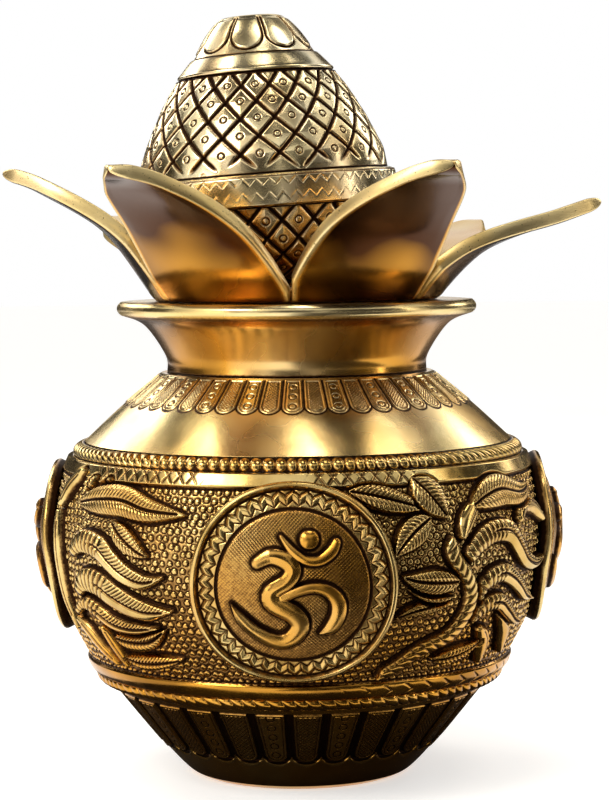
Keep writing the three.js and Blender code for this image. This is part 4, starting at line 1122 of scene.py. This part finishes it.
def span(tree, value, low, high, to_low, to_high):
    made = add_node(tree, "ShaderNodeMapRange")
    tree.links.new(value, made.inputs["Value"])
    for socket, number in (("From Min", low), ("From Max", high), ("To Min", to_low),
                           ("To Max", to_high)):
        made.inputs[socket].default_value = number
    return made.outputs["Result"]


def combine(tree, operation, first, second):
    made = add_node(tree, "ShaderNodeMath", operation=operation, use_clamp=True)
    feed(tree, made.inputs[0], first)
    feed(tree, made.inputs[1], second)
    return made.outputs["Value"]


def bump(tree, height, strength, distance_mm, normal=None):
    made = add_node(tree, "ShaderNodeBump")
    made.inputs["Strength"].default_value = strength
    made.inputs["Distance"].default_value = distance_mm * MM
    tree.links.new(height, made.inputs["Height"])
    if normal:
        tree.links.new(normal, made.inputs["Normal"])
    return made.outputs["Normal"]


def mark(tree, name):
    return add_node(tree, "ShaderNodeAttribute", attribute_name=name).outputs["Fac"]


def brass_material(name, light, dark, roughness, blotch_mm, bump_mm, colour_shift, dent_mm, rim_pits=False):
    """Brass with slow colour changes; a warm and a dark brown by the tone mark, partly tarnish and partly
    painted reflection and painted shade; and near-black by the grime-and-shade mark, which is grime in the
    recesses and in places painted shadow.
    """
    material = bpy.data.materials.new(name)
    material.use_nodes = True
    tree = material.node_tree
    shader = tree.nodes["Principled BSDF"]
    shader.inputs["Metallic"].default_value = 1.0
    place = add_node(tree, "ShaderNodeTexCoord").outputs["Object"]
    blotches = noise(tree, place, blotch_mm, 2, 0.5)
    specks = noise(tree, place, 1.6, 4, 0.7)
    base = mix_colour(tree, span(tree, blotches, 0.36, 0.62, 0, 1), dark, light)
    tarnish = span(tree, noise(tree, place, 14, 6, 0.65), 0.52, 0.74, 0, colour_shift)
    base = mix_colour(tree, tarnish, base, DEEP_BRASS)
    drift = span(tree, noise(tree, place, 32, 1, 0.5), 0.3, 0.7, -0.16, 0.16)
    uneven = combine(tree, "ADD", mark(tree, "tone"), drift)
    base = mix_colour(tree, span(tree, uneven, 0.05, 0.5, 0, 1), base, WARM_TARNISH_AND_PAINTED_REFLECTION)
    base = mix_colour(tree, span(tree, uneven, 0.45, 0.86, 0, 1), base, PAINTED_SHADE_UMBER)
    # Grime in the recesses, and painted shadow where the mark holds it: round the carved forms and on the
    # plaques' lower discs
    ragged = combine(tree, "ADD", mark(tree, "grime_and_shade"), span(tree, specks, 0.35, 0.7, -0.12, 0.12))
    fringe = span(tree, ragged, 0.08, 0.32, 0, 0.8)
    base = mix_colour(tree, fringe, base, DEEP_BRASS)
    grime_shade_mix = span(tree, ragged, 0.24, 0.62, 0, 1)
    base = mix_colour(tree, grime_shade_mix, base, PATINA_AND_PAINTED_SHADE)
    if rim_pits:
        rim = mark(tree, "rim")
        pits = span(tree, noise(tree, place, 0.9, 3, 0.6), 0.64, 0.72, 0, 1)
        pits = combine(tree, "MULTIPLY", pits, rim)
        base = mix_colour(tree, pits, base, PATINA_AND_PAINTED_SHADE)
        grime_shade_mix = combine(tree, "MAXIMUM", grime_shade_mix, pits)
    tree.links.new(base, shader.inputs["Base Color"])
    wear = span(tree, noise(tree, place, blotch_mm * 0.4, 1, 0.5), 0.3, 0.7, roughness * 0.8,
                roughness * 1.35)
    rough = combine(tree, "ADD", wear, span(tree, grime_shade_mix, 0, 1, 0, 0.34))
    if rim_pits:
        rough = combine(tree, "ADD", rough, span(tree, rim, 0, 1, 0, 0.2))
    tree.links.new(rough, shader.inputs["Roughness"])
    grain = noise(tree, place, 0.9, 5, 0.65)
    dents = noise(tree, place, 11, 2, 0.5)
    fine = bump(tree, grain, 0.6, bump_mm)
    tree.links.new(bump(tree, dents, 0.5, dent_mm, fine), shader.inputs["Normal"])
    return material


# Finishes: light and dark tone, roughness, size of the colour blotches and depth of the grain in
# millimetres, amount of tarnish and depth of the dents in millimetres
FINISHES = {
    "carved_brass": (BRIGHT_BRASS, MID_BRASS, 0.19, 16, 0.02, 0.5, 0.25),
    "plaque_brass": (BRIGHT_BRASS, MID_BRASS, 0.24, 18, 0.03, 0.5, 0.25),
    "polished_brass": (PALE_BRASS, BRIGHT_BRASS, 0.24, 40, 0.02, 0.08, 0.2),
    "leaf_brass": (PALE_BRASS, BRIGHT_BRASS, 0.18, 45, 0.015, 0.1, 0.1),
    "coconut_brass": (SILVERY_BRASS, PALE_BRASS, 0.22, 22, 0.03, 0.15, 0.25),
}


def make_materials():
    return {name: brass_material(name, *finish, rim_pits=name == "leaf_brass")
            for name, finish in FINISHES.items()}


def build_object(materials):
    def put(node, mesh, body, slot, finish=None):
        add_piece(node, mesh, body, slot, materials, finish)

    put("base_bowl", bowl_mesh(), "pot", "carved_brass")
    lower = [(BOWL_RIM_RADIUS + 0.6, ROPE_1_BASE),
             (BELLY_FOOT_RADIUS - 1, ROPE_1_BASE + ROPE_1_HEIGHT * 0.45),
             (BELLY_FOOT_RADIUS, ROPE_1_TOP)]
    # The lower rope's tone of 0.38 is painted shade low on the pot
    rope = rope_mesh("lower_rope_twisted", lower, LOWER_STRANDS, (1.1, 1.1), 0.9, 0.16, 0.38)
    put("lower_rope_ring", rope, "pot", "carved_brass")
    put("belly_shell", belly_mesh(), "pot", "carved_brass")
    for name, azimuth, size, raised_by in PLAQUES:
        put(name, plaque_mesh(name, azimuth, size, raised_by), "pot", "carved_brass", "plaque_brass")
    upper = [(BELLY_TOP_RADIUS - ROPE_2_STEP * 0.2, ROPE_2_BASE),
             (BELLY_TOP_RADIUS - ROPE_2_STEP * 0.4, (ROPE_2_BASE + ROPE_2_TOP) / 2),
             (SHOULDER_RADIUS + 0.6, ROPE_2_TOP)]
    rope = rope_mesh("upper_rope_twisted", upper, UPPER_STRANDS, (0.1, 1.3), 0.9, 0.15, 0.0)
    put("upper_rope_ring", rope, "pot", "carved_brass")
    put("shoulder_shell", shoulder_mesh(), "pot", "polished_brass")
    put("neck_and_lip", neck_mesh(), "pot", "polished_brass")
    put("leaf_cup", cup_mesh(), "crown", "leaf_brass")
    put("locating_collar", collar_mesh(), "crown", "polished_brass")
    for name, roots, tip, reach, rise in LEAVES:
        put(name, leaf_mesh(name, roots, tip, reach, rise), "crown", "leaf_brass")
    for name, make in (("coconut_lower_shell", lower_shell_mesh), ("coconut_belt", belt_mesh),
                       ("coconut_dome", dome_mesh), ("coconut_ring", ring_mesh),
                       ("coconut_tip", tip_mesh)):
        put(name, make(), "coconut", "coconut_brass")


# Stage and light

def seen_rays(tree):
    """1 on the rays that show the background: to the camera, off metal and through glass."""
    rays = add_node(tree, "ShaderNodeLightPath")
    seen = combine(tree, "ADD", rays.outputs["Is Camera Ray"], rays.outputs["Is Glossy Ray"])
    return combine(tree, "ADD", seen, rays.outputs["Is Transmission Ray"])


def make_floor():
    bpy.ops.mesh.primitive_plane_add(size=FLOOR_SIZE)
    floor = bpy.context.object
    floor.name = "floor"
    material = bpy.data.materials.new("floor")
    material.use_nodes = True
    tree = material.node_tree
    shader = tree.nodes["Principled BSDF"]
    shader.inputs["Base Color"].default_value = (0.80, 0.79, 0.77, 1)
    shader.inputs["Roughness"].default_value = 0.9
    glow = add_node(tree, "ShaderNodeEmission")
    glow.inputs["Strength"].default_value = 1.0
    share = combine(tree, "MULTIPLY", seen_rays(tree), FLOOR_GLOW)
    add = add_node(tree, "ShaderNodeAddShader")
    none = add_node(tree, "ShaderNodeEmission")
    none.inputs["Strength"].default_value = 0.0
    mix = add_node(tree, "ShaderNodeMixShader")
    tree.links.new(share, mix.inputs["Fac"])
    tree.links.new(none.outputs["Emission"], mix.inputs[1])
    tree.links.new(glow.outputs["Emission"], mix.inputs[2])
    tree.links.new(shader.outputs["BSDF"], add.inputs[0])
    tree.links.new(mix.outputs["Shader"], add.inputs[1])
    tree.links.new(add.outputs["Shader"], tree.nodes["Material Output"].inputs["Surface"])
    floor.data.materials.append(material)


def make_world():
    world = bpy.data.worlds.new("studio")
    bpy.context.scene.world = world
    world.use_nodes = True
    tree = world.node_tree
    ambient = tree.nodes["Background"]
    ambient.inputs["Color"].default_value = (1.0, 0.98, 0.95, 1)
    ambient.inputs["Strength"].default_value = 0.55
    white = add_node(tree, "ShaderNodeBackground")
    white.inputs["Color"].default_value = (1, 1, 1, 1)
    mix = add_node(tree, "ShaderNodeMixShader")
    tree.links.new(seen_rays(tree), mix.inputs["Fac"])
    tree.links.new(ambient.outputs["Background"], mix.inputs[1])
    tree.links.new(white.outputs["Background"], mix.inputs[2])
    tree.links.new(mix.outputs["Shader"], tree.nodes["World Output"].inputs["Surface"])


def make_lights():
    for name, place, size, power, color in LAMPS:
        data = bpy.data.lights.new(name, "AREA")
        data.shape = "RECTANGLE"
        data.size, data.size_y = size
        data.energy = power
        data.color = color
        light = bpy.data.objects.new(name, data)
        light.location = place
        bpy.context.scene.collection.objects.link(light)
        look_at(light, LAMP_TARGET)


def add_card(name, material, place, size, turn=(0, 0, 0)):
    bpy.ops.mesh.primitive_plane_add(size=1)
    card = bpy.context.object
    card.name = name
    card.location = place
    card.scale = (size[0], size[1], 1)
    card.rotation_euler = turn
    card.data.materials.append(material)
    card.visible_camera = False
    card.visible_diffuse = False
    card.visible_shadow = False


def make_cards():
    """Dark cards round the set, out of the camera's sight, for the metal to reflect."""
    material = bpy.data.materials.new("card")
    material.use_nodes = True
    shader = material.node_tree.nodes["Principled BSDF"]
    shader.inputs["Base Color"].default_value = (0.03, 0.026, 0.022, 1)
    shader.inputs["Roughness"].default_value = 0.9
    for name, azimuth, width, foot, top in UPRIGHT_CARDS:
        turn = math.radians(azimuth)
        place = (CARD_DISTANCE * math.sin(turn), -CARD_DISTANCE * math.cos(turn), (foot + top) / 2)
        add_card(name, material, place, (width, top - foot), (math.radians(90), 0, turn))
    for name, place, size in LEVEL_CARDS:
        add_card(name, material, place, size)


def main():
    scene = bpy.context.scene
    scene.view_settings.view_transform = "Standard"
    make_camera()
    build_object(make_materials())
    make_floor()
    make_world()
    make_lights()
    make_cards()


main()
